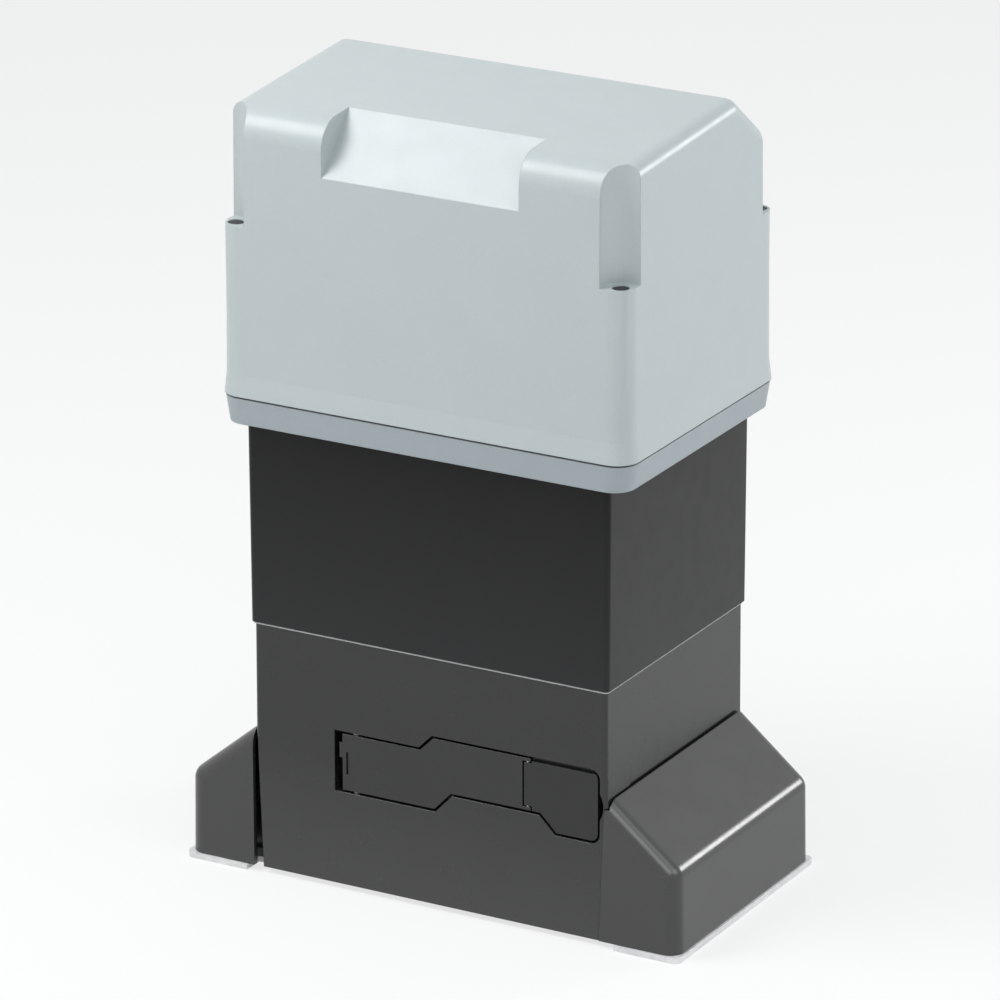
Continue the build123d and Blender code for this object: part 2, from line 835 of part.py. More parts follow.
def screw_set(plane, spacing_x, spacing_y, head_radius, head_height, shank_radius, shank_length):
    """Four screws whose heads stand on the plane."""
    with BuildPart() as screws:
        with BuildSketch(plane):
            with GridLocations(spacing_x, spacing_y, 2, 2):
                Circle(head_radius)
        extrude(amount=head_height)
        with BuildSketch(plane):
            with GridLocations(spacing_x, spacing_y, 2, 2):
                Circle(shank_radius)
        extrude(amount=-shank_length)
    return screws.part


def make_cable_grommet():
    with BuildPart() as grommet:
        with BuildSketch(Plane.XY.offset(upper_floor_top)):
            with Locations((duct_x, duct_y)):
                Rectangle(duct_length + 2 * grommet_flange, duct_width + 2 * grommet_flange)
        extrude(amount=grommet_wall)
        with BuildSketch(Plane.XY.offset(upper_floor_top)):
            with Locations((duct_x, duct_y)):
                Rectangle(duct_length - 2 * bearing_gap, duct_width - 2 * bearing_gap)
        extrude(amount=-upper_floor_thickness)
        with BuildSketch(Plane.XY.offset(upper_floor_top + grommet_wall)):
            with Locations((duct_x, duct_y)):
                Rectangle(duct_length - 2 * grommet_wall, duct_width - 2 * grommet_wall)
        extrude(amount=-upper_floor_thickness - grommet_wall, mode=Mode.SUBTRACT)
    return grommet.part


# Side caps


def cap_profile(extend):
    """Corners of the right cap's end view; extend carries it past its open bottom and inner side."""
    inner_x = housing_length / 2 + cap_side_gap
    slope = (cap_inner_height - cap_outer_height) / (cap_outer_x - inner_x)
    foot_x = cap_outer_x + (cap_outer_height - plate_thickness + extend) * tan(radians(cap_draft))
    return [
        (inner_x - extend, plate_thickness - extend),
        (foot_x, plate_thickness - extend),
        (cap_outer_x, cap_outer_height),
        (inner_x - extend, cap_inner_height + extend * slope),
    ]


def cap_form(wall, extend):
    """The right cap's outer form, or its inside when wall is not zero."""
    radius = cap_edge_radius - wall
    with BuildPart() as form:
        with BuildSketch(front_plane(0)):
            Polygon(*cap_profile(extend), align=None)
            if wall > 0:
                offset(amount=-wall, kind=Kind.INTERSECTION, mode=Mode.REPLACE)
        extrude(amount=cap_half_depth - wall, both=True)
        outer = [e for e in form.edges().filter_by(Axis.Y) if abs(e.center().X - cap_outer_x) < wall + 1
                 and abs(e.center().Z - cap_outer_height) < 2 * wall + 1]
        fillet(outer, radius)
        inner_x = min(v.X for v in form.vertices())
        low = min(v.Z for v in form.vertices())
        rims = [e for end in form.faces().filter_by(Axis.Y) for e in end.edges()
                if e.center().X > inner_x + 1 and e.center().Z > low + 1]
        fillet(rims, radius)
    return form.part


def make_side_cap():
    """The right cap, with a flange on its front wall that fills the housing's relief there."""
    inner_x = housing_length / 2 + cap_side_gap
    relief_x = housing_length / 2 + lower_flare + parting_gap
    relief_top = plate_thickness + side_relief_height - parting_gap
    with BuildPart() as flange:
        add(cap_form(0, cap_side_gap + side_relief_bottom))
        with BuildSketch(front_plane(-cap_half_depth)):
            Polygon(
                (relief_x - side_relief_bottom, plate_thickness),
                (inner_x + cap_wall, plate_thickness),
                (inner_x + cap_wall, relief_top),
                (relief_x - side_relief_top, relief_top),
                align=None,
            )
        extrude(amount=-cap_wall, mode=Mode.INTERSECT)
    with BuildPart() as cap:
        add(cap_form(0, 0))
        add(cap_form(cap_wall, cap_reach), mode=Mode.SUBTRACT)
        add(flange.part)
    return cap.part


# Gears


def involute_angle(base_radius, radius):
    """The polar angle that an involute has turned through at a radius."""
    if radius <= base_radius:
        return 0.0
    roll = acos(base_radius / radius)
    return tan(roll) - roll


def gap_outline(module, teeth, backlash, steps):
    """Corners of a gear's tooth gap about the X axis, with straight runs along its involute flanks."""
    pitch_radius = module * teeth / 2
    base_radius = pitch_radius * cos(radians(pressure_angle))
    tip_radius = pitch_radius + module
    half_gap = (pi * module / 2 + backlash) / 2 / pitch_radius
    at_base = half_gap - involute_angle(base_radius, pitch_radius)
    flank = [(pitch_radius - dedendum * module, at_base)]
    for step in range(steps + 1):
        radius = base_radius + (tip_radius - base_radius) * step / steps
        flank.append((radius, at_base + involute_angle(base_radius, radius)))
    flank.append((tip_radius + module, flank[-1][1]))
    lower = [(radius * cos(angle), -radius * sin(angle)) for radius, angle in flank]
    upper = [(radius * cos(angle), radius * sin(angle)) for radius, angle in reversed(flank)]
    return lower + upper


def toothed(blank, plane, module, teeth, backlash, steps, along):
    """The blank with its tooth gaps cut, each a straight prism that runs along the given direction."""
    with BuildPart() as cutter:
        with BuildSketch(plane):
            Polygon(*gap_outline(module, teeth, backlash, steps), align=None)
        extrude(amount=pinion_width, dir=along, both=True)
    axis = Axis((0, 0, axis_height), (0, 1, 0))
    with BuildPart() as gear:
        add(blank)
        add([cutter.part.rotate(axis, 360 * tooth / teeth) for tooth in range(teeth)], mode=Mode.SUBTRACT)
    return gear.part


def make_wheel_rim():
    """The bronze rim, whose gaps lie along the lead of the worm's thread."""
    blank = ring(axis_plane(wheel_front), wheel_pitch_radius + gear_module, wheel_rim_radius + bearing_gap,
                 wheel_width)
    return toothed(blank, axis_plane(wheel_plane), gear_module, wheel_teeth, tooth_backlash, 2,
                   (0, 1, worm_lead_slope))


def dog_ring(plane, start_angle, length):
    """Driving dogs that stand on the plane."""
    with BuildPart() as dogs:
        with BuildSketch(plane):
            with PolarLocations((dog_inner_radius + dog_outer_radius) / 2, dog_count, start_angle=start_angle):
                Rectangle(dog_outer_radius - dog_inner_radius, dog_width)
        extrude(amount=length)
    return dogs.part


def make_wheel_hub():
    with BuildPart() as hub:
        with BuildSketch(axis_plane(wheel_front)):
            Circle(wheel_rim_radius)
        extrude(amount=wheel_width)
        with BuildSketch(axis_plane(wheel_front)):
            Circle(wheel_hub_radius)
        extrude(amount=-wheel_hub_length)
        add(dog_ring(axis_plane(wheel_back), 0, dog_height))
        with BuildSketch(axis_plane(wheel_front - wheel_hub_length)):
            Circle(output_shaft_radius + running_gap)
        extrude(amount=wheel_hub_length + wheel_width + dog_height, mode=Mode.SUBTRACT)
    return hub.part


def thread_section(angle, root, tip):
    """The thread's corners at an angle round the worm, for a right hand thread through the wheel's gap."""
    height = axis_height + gear_module / 2 * angle
    half_root = (pi * gear_module / 2 - tooth_backlash) / 2 + (worm_pitch_radius - root) * tan(radians(pressure_angle))
    half_tip = (pi * gear_module / 2 - tooth_backlash) / 2 - (tip - worm_pitch_radius) * tan(radians(pressure_angle))
    return [(root, height - half_root), (tip, height - half_tip), (tip, height + half_tip), (root, height + half_root)]


def make_worm_shaft():
    """The worm with its journals and the drum end that carries the clutch."""
    tip = worm_pitch_radius + gear_module
    root = worm_pitch_radius - dedendum * gear_module
    worm_low = axis_height - worm_length / 2
    worm_high = axis_height + worm_length / 2
    turns = worm_length / (pi * gear_module) + 1
    steps_per_turn = 16
    steps = int(turns * steps_per_turn)
    with BuildPart() as worm:
        for step in range(steps + 1):
            angle = (step - steps / 2) * 2 * pi / steps_per_turn
            plane = Plane(origin=(motor_x, motor_y, 0), x_dir=(cos(angle), sin(angle), 0),
                          z_dir=(sin(angle), -cos(angle), 0))
            with BuildSketch(plane):
                Polygon(*thread_section(angle, root - 1, tip), align=None)
        loft(ruled=True)
        with BuildSketch(motor_plane(worm_low)):
            Circle(2 * tip)
        extrude(amount=worm_length, mode=Mode.INTERSECT)
        with BuildSketch(motor_plane(worm_low)):
            Circle(root)
        extrude(amount=worm_length)
        with BuildSketch(motor_plane(worm_bearing_low - 1)):
            Circle(motor_shaft_radius)
        extrude(amount=worm_low - worm_bearing_low + 1)
        with BuildSketch(motor_plane(worm_high)):
            Circle(motor_shaft_radius)
        extrude(amount=clutch_bottom - worm_high)
    return worm.part


# Output shaft


def make_output_shaft():
    shaft_back = pinion_back - parting_gap
    slot_low = cross_pin_y - cross_pin_radius - running_gap
    slot_high = cross_pin_y + release_travel + cross_pin_radius + running_gap
    with BuildPart() as shaft:
        with BuildSketch(axis_plane(shaft_front)):
            Circle(output_shaft_radius)
        extrude(amount=shaft_back - shaft_front)
        with BuildSketch(axis_plane(shaft_front)):
            Circle(release_rod_radius + running_gap)
        extrude(amount=release_rod_back + release_travel + shaft_clearance - shaft_front, mode=Mode.SUBTRACT)
        with BuildSketch(Plane.YZ):
            with Locations(((slot_low + slot_high) / 2, axis_height)):
                Rectangle(slot_high - slot_low, 2 * (cross_pin_radius + running_gap))
        extrude(amount=output_shaft_radius, both=True, mode=Mode.SUBTRACT)
        with BuildSketch(Plane.XY.offset(axis_height + key_seat)):
            with Locations((0, (pinion_front + pinion_back) / 2)):
                Rectangle(key_width, key_length)
        extrude(amount=key_height, mode=Mode.SUBTRACT)
        with BuildSketch(axis_plane(shaft_back)):
            Circle(end_bolt_radius + running_gap)
        extrude(amount=-end_bolt_length, mode=Mode.SUBTRACT)
    return shaft.part


def make_pinion():
    with BuildPart() as blank:
        with BuildSketch(axis_plane(pinion_front)):
            Circle(pinion_pitch_radius + pinion_module)
            Circle(output_shaft_radius + bearing_gap, mode=Mode.SUBTRACT)
            with Locations((0, key_seat + key_height / 2)):
                Rectangle(key_width + 2 * bearing_gap, key_height + 2 * bearing_gap, mode=Mode.SUBTRACT)
        extrude(amount=pinion_width)
    return toothed(blank.part, axis_plane(pinion_front), pinion_module, pinion_teeth, pinion_backlash, 3, (0, 1, 0))


def make_pinion_key():
    with BuildPart() as key:
        with BuildSketch(Plane.XY.offset(axis_height + key_seat)):
            with Locations((0, (pinion_front + pinion_back) / 2)):
                Rectangle(key_width - 2 * bearing_gap, key_length - 2 * bearing_gap)
        extrude(amount=key_height)
    return key.part


def make_pinion_bolt():
    washer_back = pinion_back + end_washer_thickness
    with BuildPart() as bolt:
        with BuildSketch(axis_plane(washer_back)):
            RegularPolygon(hexagon_radius(nut_across_flats), 6)
        extrude(amount=end_bolt_head)
        with BuildSketch(axis_plane(washer_back)):
            Circle(end_bolt_radius)
        extrude(amount=-(end_bolt_length + end_washer_thickness - 2))
    return bolt.part


# Release clutch


def make_dog_sleeve():
    with BuildPart() as sleeve:
        with BuildSketch(axis_plane(sleeve_front)):
            Circle(sleeve_radius)
        extrude(amount=sleeve_length)
        add(dog_ring(axis_plane(sleeve_front), 180 / dog_count, -(dog_height - parting_gap)))
        with BuildSketch(axis_plane(wheel_back)):
            Circle(output_shaft_radius + running_gap)
        extrude(amount=sleeve_back - wheel_back, mode=Mode.SUBTRACT)
        with BuildSketch(Plane.YZ):
            with Locations((cross_pin_y, axis_height)):
                Circle(cross_pin_radius + bearing_gap)
        extrude(amount=sleeve_radius, both=True, mode=Mode.SUBTRACT)
    return sleeve.part


def make_release_rod():
    with BuildPart() as body:
        with BuildSketch(axis_plane(release_rod_front)):
            Circle(release_rod_radius)
        extrude(amount=release_rod_back - release_rod_front)
        with BuildSketch(Plane.YZ):
            with Locations((cross_pin_y, axis_height)):
                Circle(cross_pin_radius + bearing_gap)
        extrude(amount=sleeve_radius, both=True, mode=Mode.SUBTRACT)
    return body.part


def make_cross_pin():
    half_length = sleeve_radius - 1
    return rod(Plane(origin=(-half_length, cross_pin_y, axis_height), z_dir=(1, 0, 0)), cross_pin_radius,
               2 * half_length)


def make_release_spring():
    """A square wire coil between the dog sleeve and the rear bearing, in straight runs."""
    radius = (sleeve_radius + output_shaft_radius) / 2 - 1
    start = sleeve_back + spring_wire / 2 + spring_end_gap
    end = rear_bearing_front - spring_wire / 2 - spring_end_gap
    per_turn = 10
    count = per_turn * spring_turns
    points = [(radius * sin(2 * pi * i / per_turn), start + (end - start) * i / count,
               axis_height + radius * cos(2 * pi * i / per_turn)) for i in range(count + 1)]
    with BuildPart() as spring:
        with BuildLine() as path:
            Polyline(*points)
        with BuildSketch(Plane(origin=path.line @ 0, x_dir=(0, 1, 0), z_dir=path.line % 0)):
            Rectangle(spring_wire, spring_wire)
        sweep(path=path.line, transition=Transition.RIGHT)
    return spring.part


def make_push_plate():
    with BuildPart() as plate:
        with BuildSketch(front_plane(push_plate_back)):
            with Locations((hinge_x / 2, axis_height)):
                Rectangle(-hinge_x + push_plate_height, push_plate_height)
        extrude(amount=push_plate_thickness)
        with BuildSketch(front_plane(push_plate_front)):
            with Locations((hinge_x, axis_height)):
                Circle(release_rod_radius)
        extrude(amount=push_plate_front - rod_tip_y)
    return plate.part


# Release lever


def cam_outline():
    """Corners of a cam whose reach to the back grows evenly as the lever opens."""
    points = []
    steps = 9
    for step in range(steps + 1):
        angle = pi / 2 * step / steps
        reach = cam_base + cam_slope * angle
        points.append((hinge_x - reach * sin(angle) - cam_slope * cos(angle),
                       hinge_y + reach * cos(angle) - cam_slope * sin(angle)))
    lobe_x = points[-1][0]
    points += [(lobe_x + cam_base / 4, lever_front + cam_skin), (hinge_x, lever_front + cam_skin),
               (hinge_x + cam_base, hinge_y), (hinge_x + cam_base / 4, hinge_y + cam_base)]
    return points


def flap_region(y, length, gap, top_gap):
    """The handle end right of the split, less its two hinge lugs, extruded to the front."""
    lug_right = flap_pin_x + flap_lug_reach + gap
    with BuildPart() as region:
        add(lever_prism(y, length))
        with BuildSketch(front_plane(y)):
            with Locations((lever_left, 0)):
                Rectangle(flap_split + gap - lever_left, 2 * lever_high, align=(Align.MIN, Align.MIN))
            with Locations((lever_left, lever_high - top_gap)):
                Rectangle(2 * lever_right, lever_high, align=(Align.MIN, Align.MIN))
            with Locations((flap_split, lever_high - flap_lug - gap)):
                Rectangle(lug_right - flap_split, lever_high, align=(Align.MIN, Align.MIN))
            with Locations((flap_split, 0)):
                Rectangle(lug_right - flap_split, lever_mid_low + flap_lug + gap, align=(Align.MIN, Align.MIN))
        extrude(amount=length, mode=Mode.SUBTRACT)
    return region.part


def make_release_lever():
    with BuildPart() as lever:
        add(lever_prism(lever_back, lever_thickness))
        left_edges = lever.edges().filter_by(Axis.Z).group_by(Axis.X)[0].sort_by(Axis.Y)
        fillet(left_edges[0], lever_heel_radius)
        fillet(left_edges[-1], lever_thickness / 2)
        with BuildSketch(Plane.XY.offset(axis_height - cam_thickness / 2)):
            with BuildLine():
                Polyline(*cam_outline(), close=True)
            make_face()
        extrude(amount=cam_thickness)
        with BuildSketch(front_plane(boss_back)):
            with Locations((lock_x, lock_height)):
                Circle(lock_boss_radius)
        extrude(amount=lock_boss_length)
        add(flap_region(flap_back + 0.1, 2 * flap_thickness, 0, 0), mode=Mode.SUBTRACT)
        flap_height = lever_high - lever_mid_low
        with BuildSketch(Plane(origin=(flap_pin_x, flap_pin_y, lever_mid_low + flap_lug))):
            Circle(flap_relief_radius)
        extrude(amount=flap_height - 2 * flap_lug, mode=Mode.SUBTRACT)
        with BuildSketch(Plane(origin=(flap_pin_x, flap_pin_y, lever_mid_low))):
            Circle(flap_pin_radius + bearing_gap)
        extrude(amount=flap_height, mode=Mode.SUBTRACT)
        with BuildSketch(front_plane(boss_back)):
            with Locations((lock_x, lock_height)):
                Circle(lock_radius + running_gap)
        extrude(amount=2 * lever_thickness + lock_boss_length, mode=Mode.SUBTRACT)
        with BuildSketch(Plane(origin=(hinge_x, hinge_y, lever_left_low))):
            Circle(hinge_pin_radius + running_gap)
        extrude(amount=lever_left_high - lever_left_low, mode=Mode.SUBTRACT)
        with BuildSketch(front_plane(lever_front + tick_width)):
            with Locations((lever_left + tick_inset, axis_height + (tick_low + tick_high) / 2)):
                Rectangle(tick_width, tick_high - tick_low)
        extrude(amount=2 * tick_width, mode=Mode.SUBTRACT)
    return lever.part


def make_lever_hinge_pin():
    low = lever_left_low - lever_gap - pin_seat
    high = lever_left_high + lever_gap + pin_seat
    return rod(Plane(origin=(hinge_x, hinge_y, low)), hinge_pin_radius, high - low)


def make_lock_flap():
    with BuildPart() as flap:
        add(flap_region(flap_back, flap_thickness, flap_gap, flap_top_gap))
        with BuildSketch(Plane(origin=(flap_pin_x, flap_pin_y, lever_mid_low))):
            Circle(flap_pin_radius + running_gap)
        extrude(amount=lever_high - lever_mid_low, mode=Mode.SUBTRACT)
    return flap.part


def make_flap_hinge_pin():
    return rod(Plane(origin=(flap_pin_x, flap_pin_y, lever_mid_low + parting_gap)), flap_pin_radius,
               lever_high - lever_mid_low - 2 * parting_gap)


def make_lock_cylinder():
    face = flap_back + parting_gap
    with BuildPart() as lock:
        with BuildSketch(front_plane(latch_front)):
            with Locations((lock_x, lock_height)):
                Circle(lock_radius)
        extrude(amount=latch_front - face)
        with BuildSketch(front_plane(face + lever_thickness)):
            with Locations((lock_x, lock_height)):
                Rectangle(key_slot_width, key_slot_length)
        extrude(amount=2 * lever_thickness, mode=Mode.SUBTRACT)
    return lock.part


def make_latch_arm():
    with BuildPart() as latch:
        with BuildSketch(front_plane(latch_back)):
            with Locations((lock_x, lock_height)):
                Circle(lock_radius)
            with Locations((lock_x, lock_height + latch_reach / 2)):
                Rectangle(latch_width, latch_reach)
        extrude(amount=latch_thickness)
    return latch.part


# Motor


def make_motor_flange(floor_z, toward):
    """A cup that holds one end of the stator: its floor carries the bearing, its rim the laminations."""
    with BuildPart() as flange:
        with BuildSketch(motor_plane(floor_z)):
            Circle(stator_radius)
        rim_z = stator_bottom if toward > 0 else stator_top
        extrude(amount=rim_z - floor_z)
        with BuildSketch(motor_plane(floor_z + toward * flange_floor)):
            Circle(stator_radius - flange_wall)
        extrude(amount=rim_z - floor_z - toward * flange_floor, mode=Mode.SUBTRACT)
        with BuildSketch(motor_plane(floor_z)):
            Circle(motor_shaft_radius + shaft_clearance)
        extrude(amount=toward * flange_floor, mode=Mode.SUBTRACT)
        with BuildSketch(motor_plane(floor_z + toward * (flange_floor - small_bearing_width))):
            Circle(small_bearing_radius + bearing_gap)
        extrude(amount=toward * small_bearing_width, mode=Mode.SUBTRACT)
    return flange.part


def make_stator_core():
    with BuildPart() as core:
        with BuildSketch(motor_plane(stator_bottom)):
            Circle(stator_radius)
            Circle(stator_bore_radius, mode=Mode.SUBTRACT)
            with PolarLocations(stator_bore_radius + stator_slot_depth / 2 + 1, stator_slots):
                Rectangle(stator_slot_depth, stator_slot_width, mode=Mode.SUBTRACT)
        extrude(amount=stator_height)
    return core.part


def make_stator_windings():
    with BuildPart() as windings:
        for z, rise in ((stator_bottom, -winding_height), (stator_top, winding_height)):
            with BuildSketch(motor_plane(z)):
                Circle(winding_outer_radius)
                Circle(winding_inner_radius, mode=Mode.SUBTRACT)
            extrude(amount=rise)
    return windings.part


def make_motor_shaft():
    with BuildPart() as shaft:
        with BuildSketch(motor_plane(clutch_floor_top)):
            Circle(motor_shaft_radius)
            Circle(adjuster_radius + running_gap, mode=Mode.SUBTRACT)
        extrude(amount=motor_shaft_top - clutch_floor_top)
    return shaft.part


def make_clutch_adjuster():
    with BuildPart() as adjuster:
        with BuildSketch(motor_plane(motor_shaft_top)):
            Circle(adjuster_head_radius)
        extrude(amount=adjuster_head)
        with BuildSketch(motor_plane(motor_shaft_top)):
            Circle(adjuster_radius)
        extrude(amount=clutch_floor_top - motor_shaft_top)
        with BuildSketch(motor_plane(motor_shaft_top + adjuster_head)):
            Rectangle(2 * adjuster_head_radius, adjuster_slot)
        extrude(amount=-adjuster_head / 2, mode=Mode.SUBTRACT)
    return adjuster.part


def make_clutch_drum():
    with BuildPart() as drum:
        with BuildSketch(motor_plane(clutch_bottom)):
            Circle(clutch_radius)
        extrude(amount=clutch_pack_top - clutch_bottom)
        with BuildSketch(motor_plane(clutch_floor_top)):
            Circle(clutch_radius - clutch_wall)
        extrude(amount=clutch_pack_top - clutch_floor_top, mode=Mode.SUBTRACT)
    return drum.part


def make_clutch_discs():
    with BuildPart() as discs:
        for step in range(clutch_discs):
            inset = parting_gap if step % 2 else shaft_clearance
            with BuildSketch(motor_plane(clutch_floor_top + step * clutch_disc_thickness)):
                Circle(clutch_radius - clutch_wall - inset)
                Circle(motor_shaft_radius + bearing_gap, mode=Mode.SUBTRACT)
            extrude(amount=clutch_disc_thickness - clutch_disc_gap)
    return discs.part


def make_clutch_spring():
    """A disc spring: a shallow cone that presses on the disc pack near its rim."""
    inner = motor_shaft_radius + bearing_gap
    outer = clutch_radius - 2 * clutch_wall
    with BuildPart() as spring:
        with BuildSketch(Plane(origin=(motor_x, motor_y, clutch_pack_top), x_dir=(1, 0, 0), z_dir=(0, -1, 0))):
            Polygon((inner, clutch_spring_height - clutch_spring_wall), (outer, 0), (outer, clutch_spring_wall),
                    (inner, clutch_spring_height), align=None)
        revolve(axis=Axis((motor_x, motor_y, 0), (0, 0, 1)))
    return spring.part


# Cover base, cover and seal


def make_cover_base():
    housing_x = upper_length / 2 + upper_flare + parting_gap
    housing_y = upper_depth / 2 + upper_flare + parting_gap
    with BuildPart() as base:
        with BuildSketch(Plane.XY.offset(tray_bottom)):
            RectangleRounded(2 * tray_bottom_x, 2 * tray_bottom_y, cover_corner_radius - 1)
        with BuildSketch(Plane.XY.offset(tray_band_top)):
            RectangleRounded(2 * tray_top_x, 2 * tray_top_y, cover_corner_radius)
        loft()
        with BuildSketch(Plane.XY.offset(tray_bottom)):
            Rectangle(2 * housing_x, 2 * housing_y)
        extrude(amount=upper_housing_top - tray_bottom, mode=Mode.SUBTRACT)
        spigot_x = cover_half_x - cover_wall - spigot_gap
        spigot_y = cover_half_y - cover_wall - spigot_gap
        spigot_radius = cover_corner_radius - cover_wall
        with BuildSketch(Plane.XY.offset(tray_band_top)):
            RectangleRounded(2 * spigot_x, 2 * spigot_y, spigot_radius)
        extrude(amount=tray_spigot_height)
        with BuildSketch(Plane.XY.offset(tray_floor_top)):
            RectangleRounded(2 * (spigot_x - tray_wall), 2 * (spigot_y - tray_wall), spigot_radius - tray_wall)
        extrude(amount=2 * tray_band_top - tray_floor_top, mode=Mode.SUBTRACT)
        with BuildSketch(Plane.XY.offset(upper_housing_top)):
            with Locations((motor_x, motor_y)):
                Circle(stator_radius + shaft_clearance)
            with Locations((capacitor_x, 0)):
                Rectangle(tray_opening_length, tray_opening_depth)
        extrude(amount=tray_floor_thickness, mode=Mode.SUBTRACT)
        with BuildSketch(Plane.XY.offset(tray_floor_top)):
            with GridLocations(2 * cover_screw_x, 2 * cover_screw_y, 2, 2):
                Circle(cover_boss_radius)
            RectangleRounded(2 * spigot_x, 2 * spigot_y, spigot_radius, mode=Mode.INTERSECT)
        extrude(amount=spigot_top - tray_floor_top)
        with BuildSketch(Plane.XY.offset(spigot_top)):
            with GridLocations(2 * cover_screw_x, 2 * cover_screw_y, 2, 2):
                Circle(cover_screw_radius + running_gap)
        extrude(amount=-cover_screw_depth - tray_spigot_height - parting_gap, mode=Mode.SUBTRACT)
        with BuildSketch(Plane.XY.offset(upper_housing_top)):
            with GridLocations(2 * tray_screw_x, 2 * tray_screw_y, 2, 2):
                Circle(tray_screw_radius + parting_gap)
        extrude(amount=tray_floor_thickness, mode=Mode.SUBTRACT)
    return base.part


def make_cover_seal():
    outer_x = tray_top_x - seal_inset
    outer_y = tray_top_y - seal_inset
    inner_x = cover_half_x - cover_wall
    inner_y = cover_half_y - cover_wall
    with BuildPart() as seal:
        with BuildSketch(Plane.XY.offset(tray_band_top)):
            RectangleRounded(2 * outer_x, 2 * outer_y, cover_corner_radius - seal_inset)
            RectangleRounded(2 * inner_x, 2 * inner_y, cover_corner_radius - cover_wall, mode=Mode.SUBTRACT)
        extrude(amount=seal_height)
    return seal.part


def roof_profile(inset):
    """Corners of the cover's side view above the seam, moved in by inset."""
    reach = 2 * cover_half_y
    slope = (ridge_height - cover_front_height) / (ridge_y + cover_half_y)
    fall = (ridge_height - cover_back_height) / (cover_half_y - ridge_y)
    drop = inset * sqrt(1 + slope ** 2)
    back_drop = inset * sqrt(1 + fall ** 2)
    ridge_shift = (back_drop - drop) / (slope + fall)
    return [
        (-reach, seam_height - 1),
        (reach, seam_height - 1),
        (reach, ridge_height - back_drop - fall * (reach - ridge_y)),
        (ridge_y - ridge_shift, ridge_height - drop - slope * ridge_shift),
        (-reach, ridge_height - drop - slope * (ridge_y + reach)),
    ]


def panel_profile(inset):
    """Corners of the wedge that the slanted panel takes off the front edge, moved in by inset."""
    low = Vector(-cover_half_y + cover_shrink, panel_low)
    high = Vector(-panel_back, ridge_height - (ridge_height - cover_front_height)
                  * (ridge_y + panel_back) / (ridge_y + cover_half_y))
    along = (high - low).normalized()
    inward = Vector(along.Y, -along.X)
    start = low - along * 20 + inward * inset
    end = high + along * 20 + inward * inset
    return [(p.X, p.Y) for p in (start, end, end - inward * 50, start - inward * 50)]


def cover_form(inset):
    """The cover's outer form, or its inside when inset is the wall."""
    half_x = cover_half_x - inset
    half_y = cover_half_y - inset
    lip_top = seam_height + lip_height
    shoulder = ledge_height - inset
    radius = cover_corner_radius - inset
    shrink = lip_flare + (shoulder - lip_top) * tan(radians(cover_draft))
    groove = groove_radius + inset
    with BuildPart() as form:
        with BuildSketch(Plane.XY.offset(seam_height)):
            RectangleRounded(2 * half_x, 2 * half_y, radius)
        extrude(amount=lip_height, taper=degrees(atan(lip_flare / lip_height)))
        with BuildSketch(Plane.XY.offset(lip_top)):
            RectangleRounded(2 * (half_x - lip_flare), 2 * (half_y - lip_flare), radius - lip_flare)
        extrude(amount=shoulder - lip_top, taper=cover_draft)
        with BuildSketch(Plane.XY.offset(shoulder)):
            Rectangle(2 * (half_x - shrink), 2 * (half_y - shrink))
        extrude(amount=ridge_height + 5 - shoulder, taper=cover_draft)
        with BuildSketch(Plane.YZ):
            Polygon(*roof_profile(inset), align=None)
        extrude(amount=2 * cover_half_x, both=True, mode=Mode.INTERSECT)
        with BuildSketch(Plane.XY.offset(shoulder)):
            with GridLocations(2 * (cover_half_x - cover_shrink), 2 * (cover_half_y - cover_shrink), 2, 2):
                Circle(groove)
        extrude(amount=ridge_height, mode=Mode.SUBTRACT)
        top_edges = [e for e in form.edges().filter_by(Axis.X) if e.center().Z > cover_back_height - 2 * inset - 2]
        front_edge = [e for e in top_edges if e.center().Y < -cover_half_y / 2]
        if inset > 0:
            chamfer(front_edge, front_edge_radius / 2)
        else:
            fillet(front_edge, front_edge_radius)
            ridge = [e for e in form.edges().filter_by(Axis.X) if abs(e.center().Y - ridge_y) < 5]
            fillet(ridge, ridge_radius)
            back = [e for e in form.edges().filter_by(Axis.X) if e.center().Z > cover_back_height - 4
                    and e.center().Y > cover_half_y - 5]
            fillet(back, back_edge_radius)
            top_side = cover_half_x - cover_shrink - 3
            sides = [e for e in form.edges() if abs(e.center().X) > top_side and e.center().Z > ledge_height + 15
                     and abs(e.tangent_at(0.5).Z) < 0.9 and abs((e @ 0).X) > top_side and abs((e @ 1).X) > top_side
                     and abs(e.center().Y) < cover_half_y - groove_radius]
            fillet(sides, side_edge_radius)
        with BuildSketch(Plane.YZ):
            Polygon(*panel_profile(inset), align=None)
        extrude(amount=panel_half_length + inset, both=True, mode=Mode.SUBTRACT)
    return form.part


def make_cover():
    with BuildPart() as cover:
        add(cover_form(0))
        add(cover_form(cover_wall), mode=Mode.SUBTRACT)
        boss_bottom = spigot_top + parting_gap
        with BuildSketch(Plane.XY.offset(boss_bottom)):
            with GridLocations(2 * cover_screw_x, 2 * cover_screw_y, 2, 2):
                Circle(cover_boss_radius)
        extrude(amount=ledge_height - boss_bottom)
        with BuildSketch(Plane.XY.offset(ledge_height)):
            with GridLocations(2 * cover_screw_x, 2 * cover_screw_y, 2, 2):
                Circle(cover_screw_radius + parting_gap)
        extrude(amount=boss_bottom - ledge_height, mode=Mode.SUBTRACT)
        with BuildSketch(Plane.XY.offset(ledge_height)):
            with GridLocations(2 * cover_screw_x, 2 * cover_screw_y, 2, 2):
                Circle(cover_screw_head + parting_gap)
        extrude(amount=-cover_screw_head_height, mode=Mode.SUBTRACT)
    return cover.part


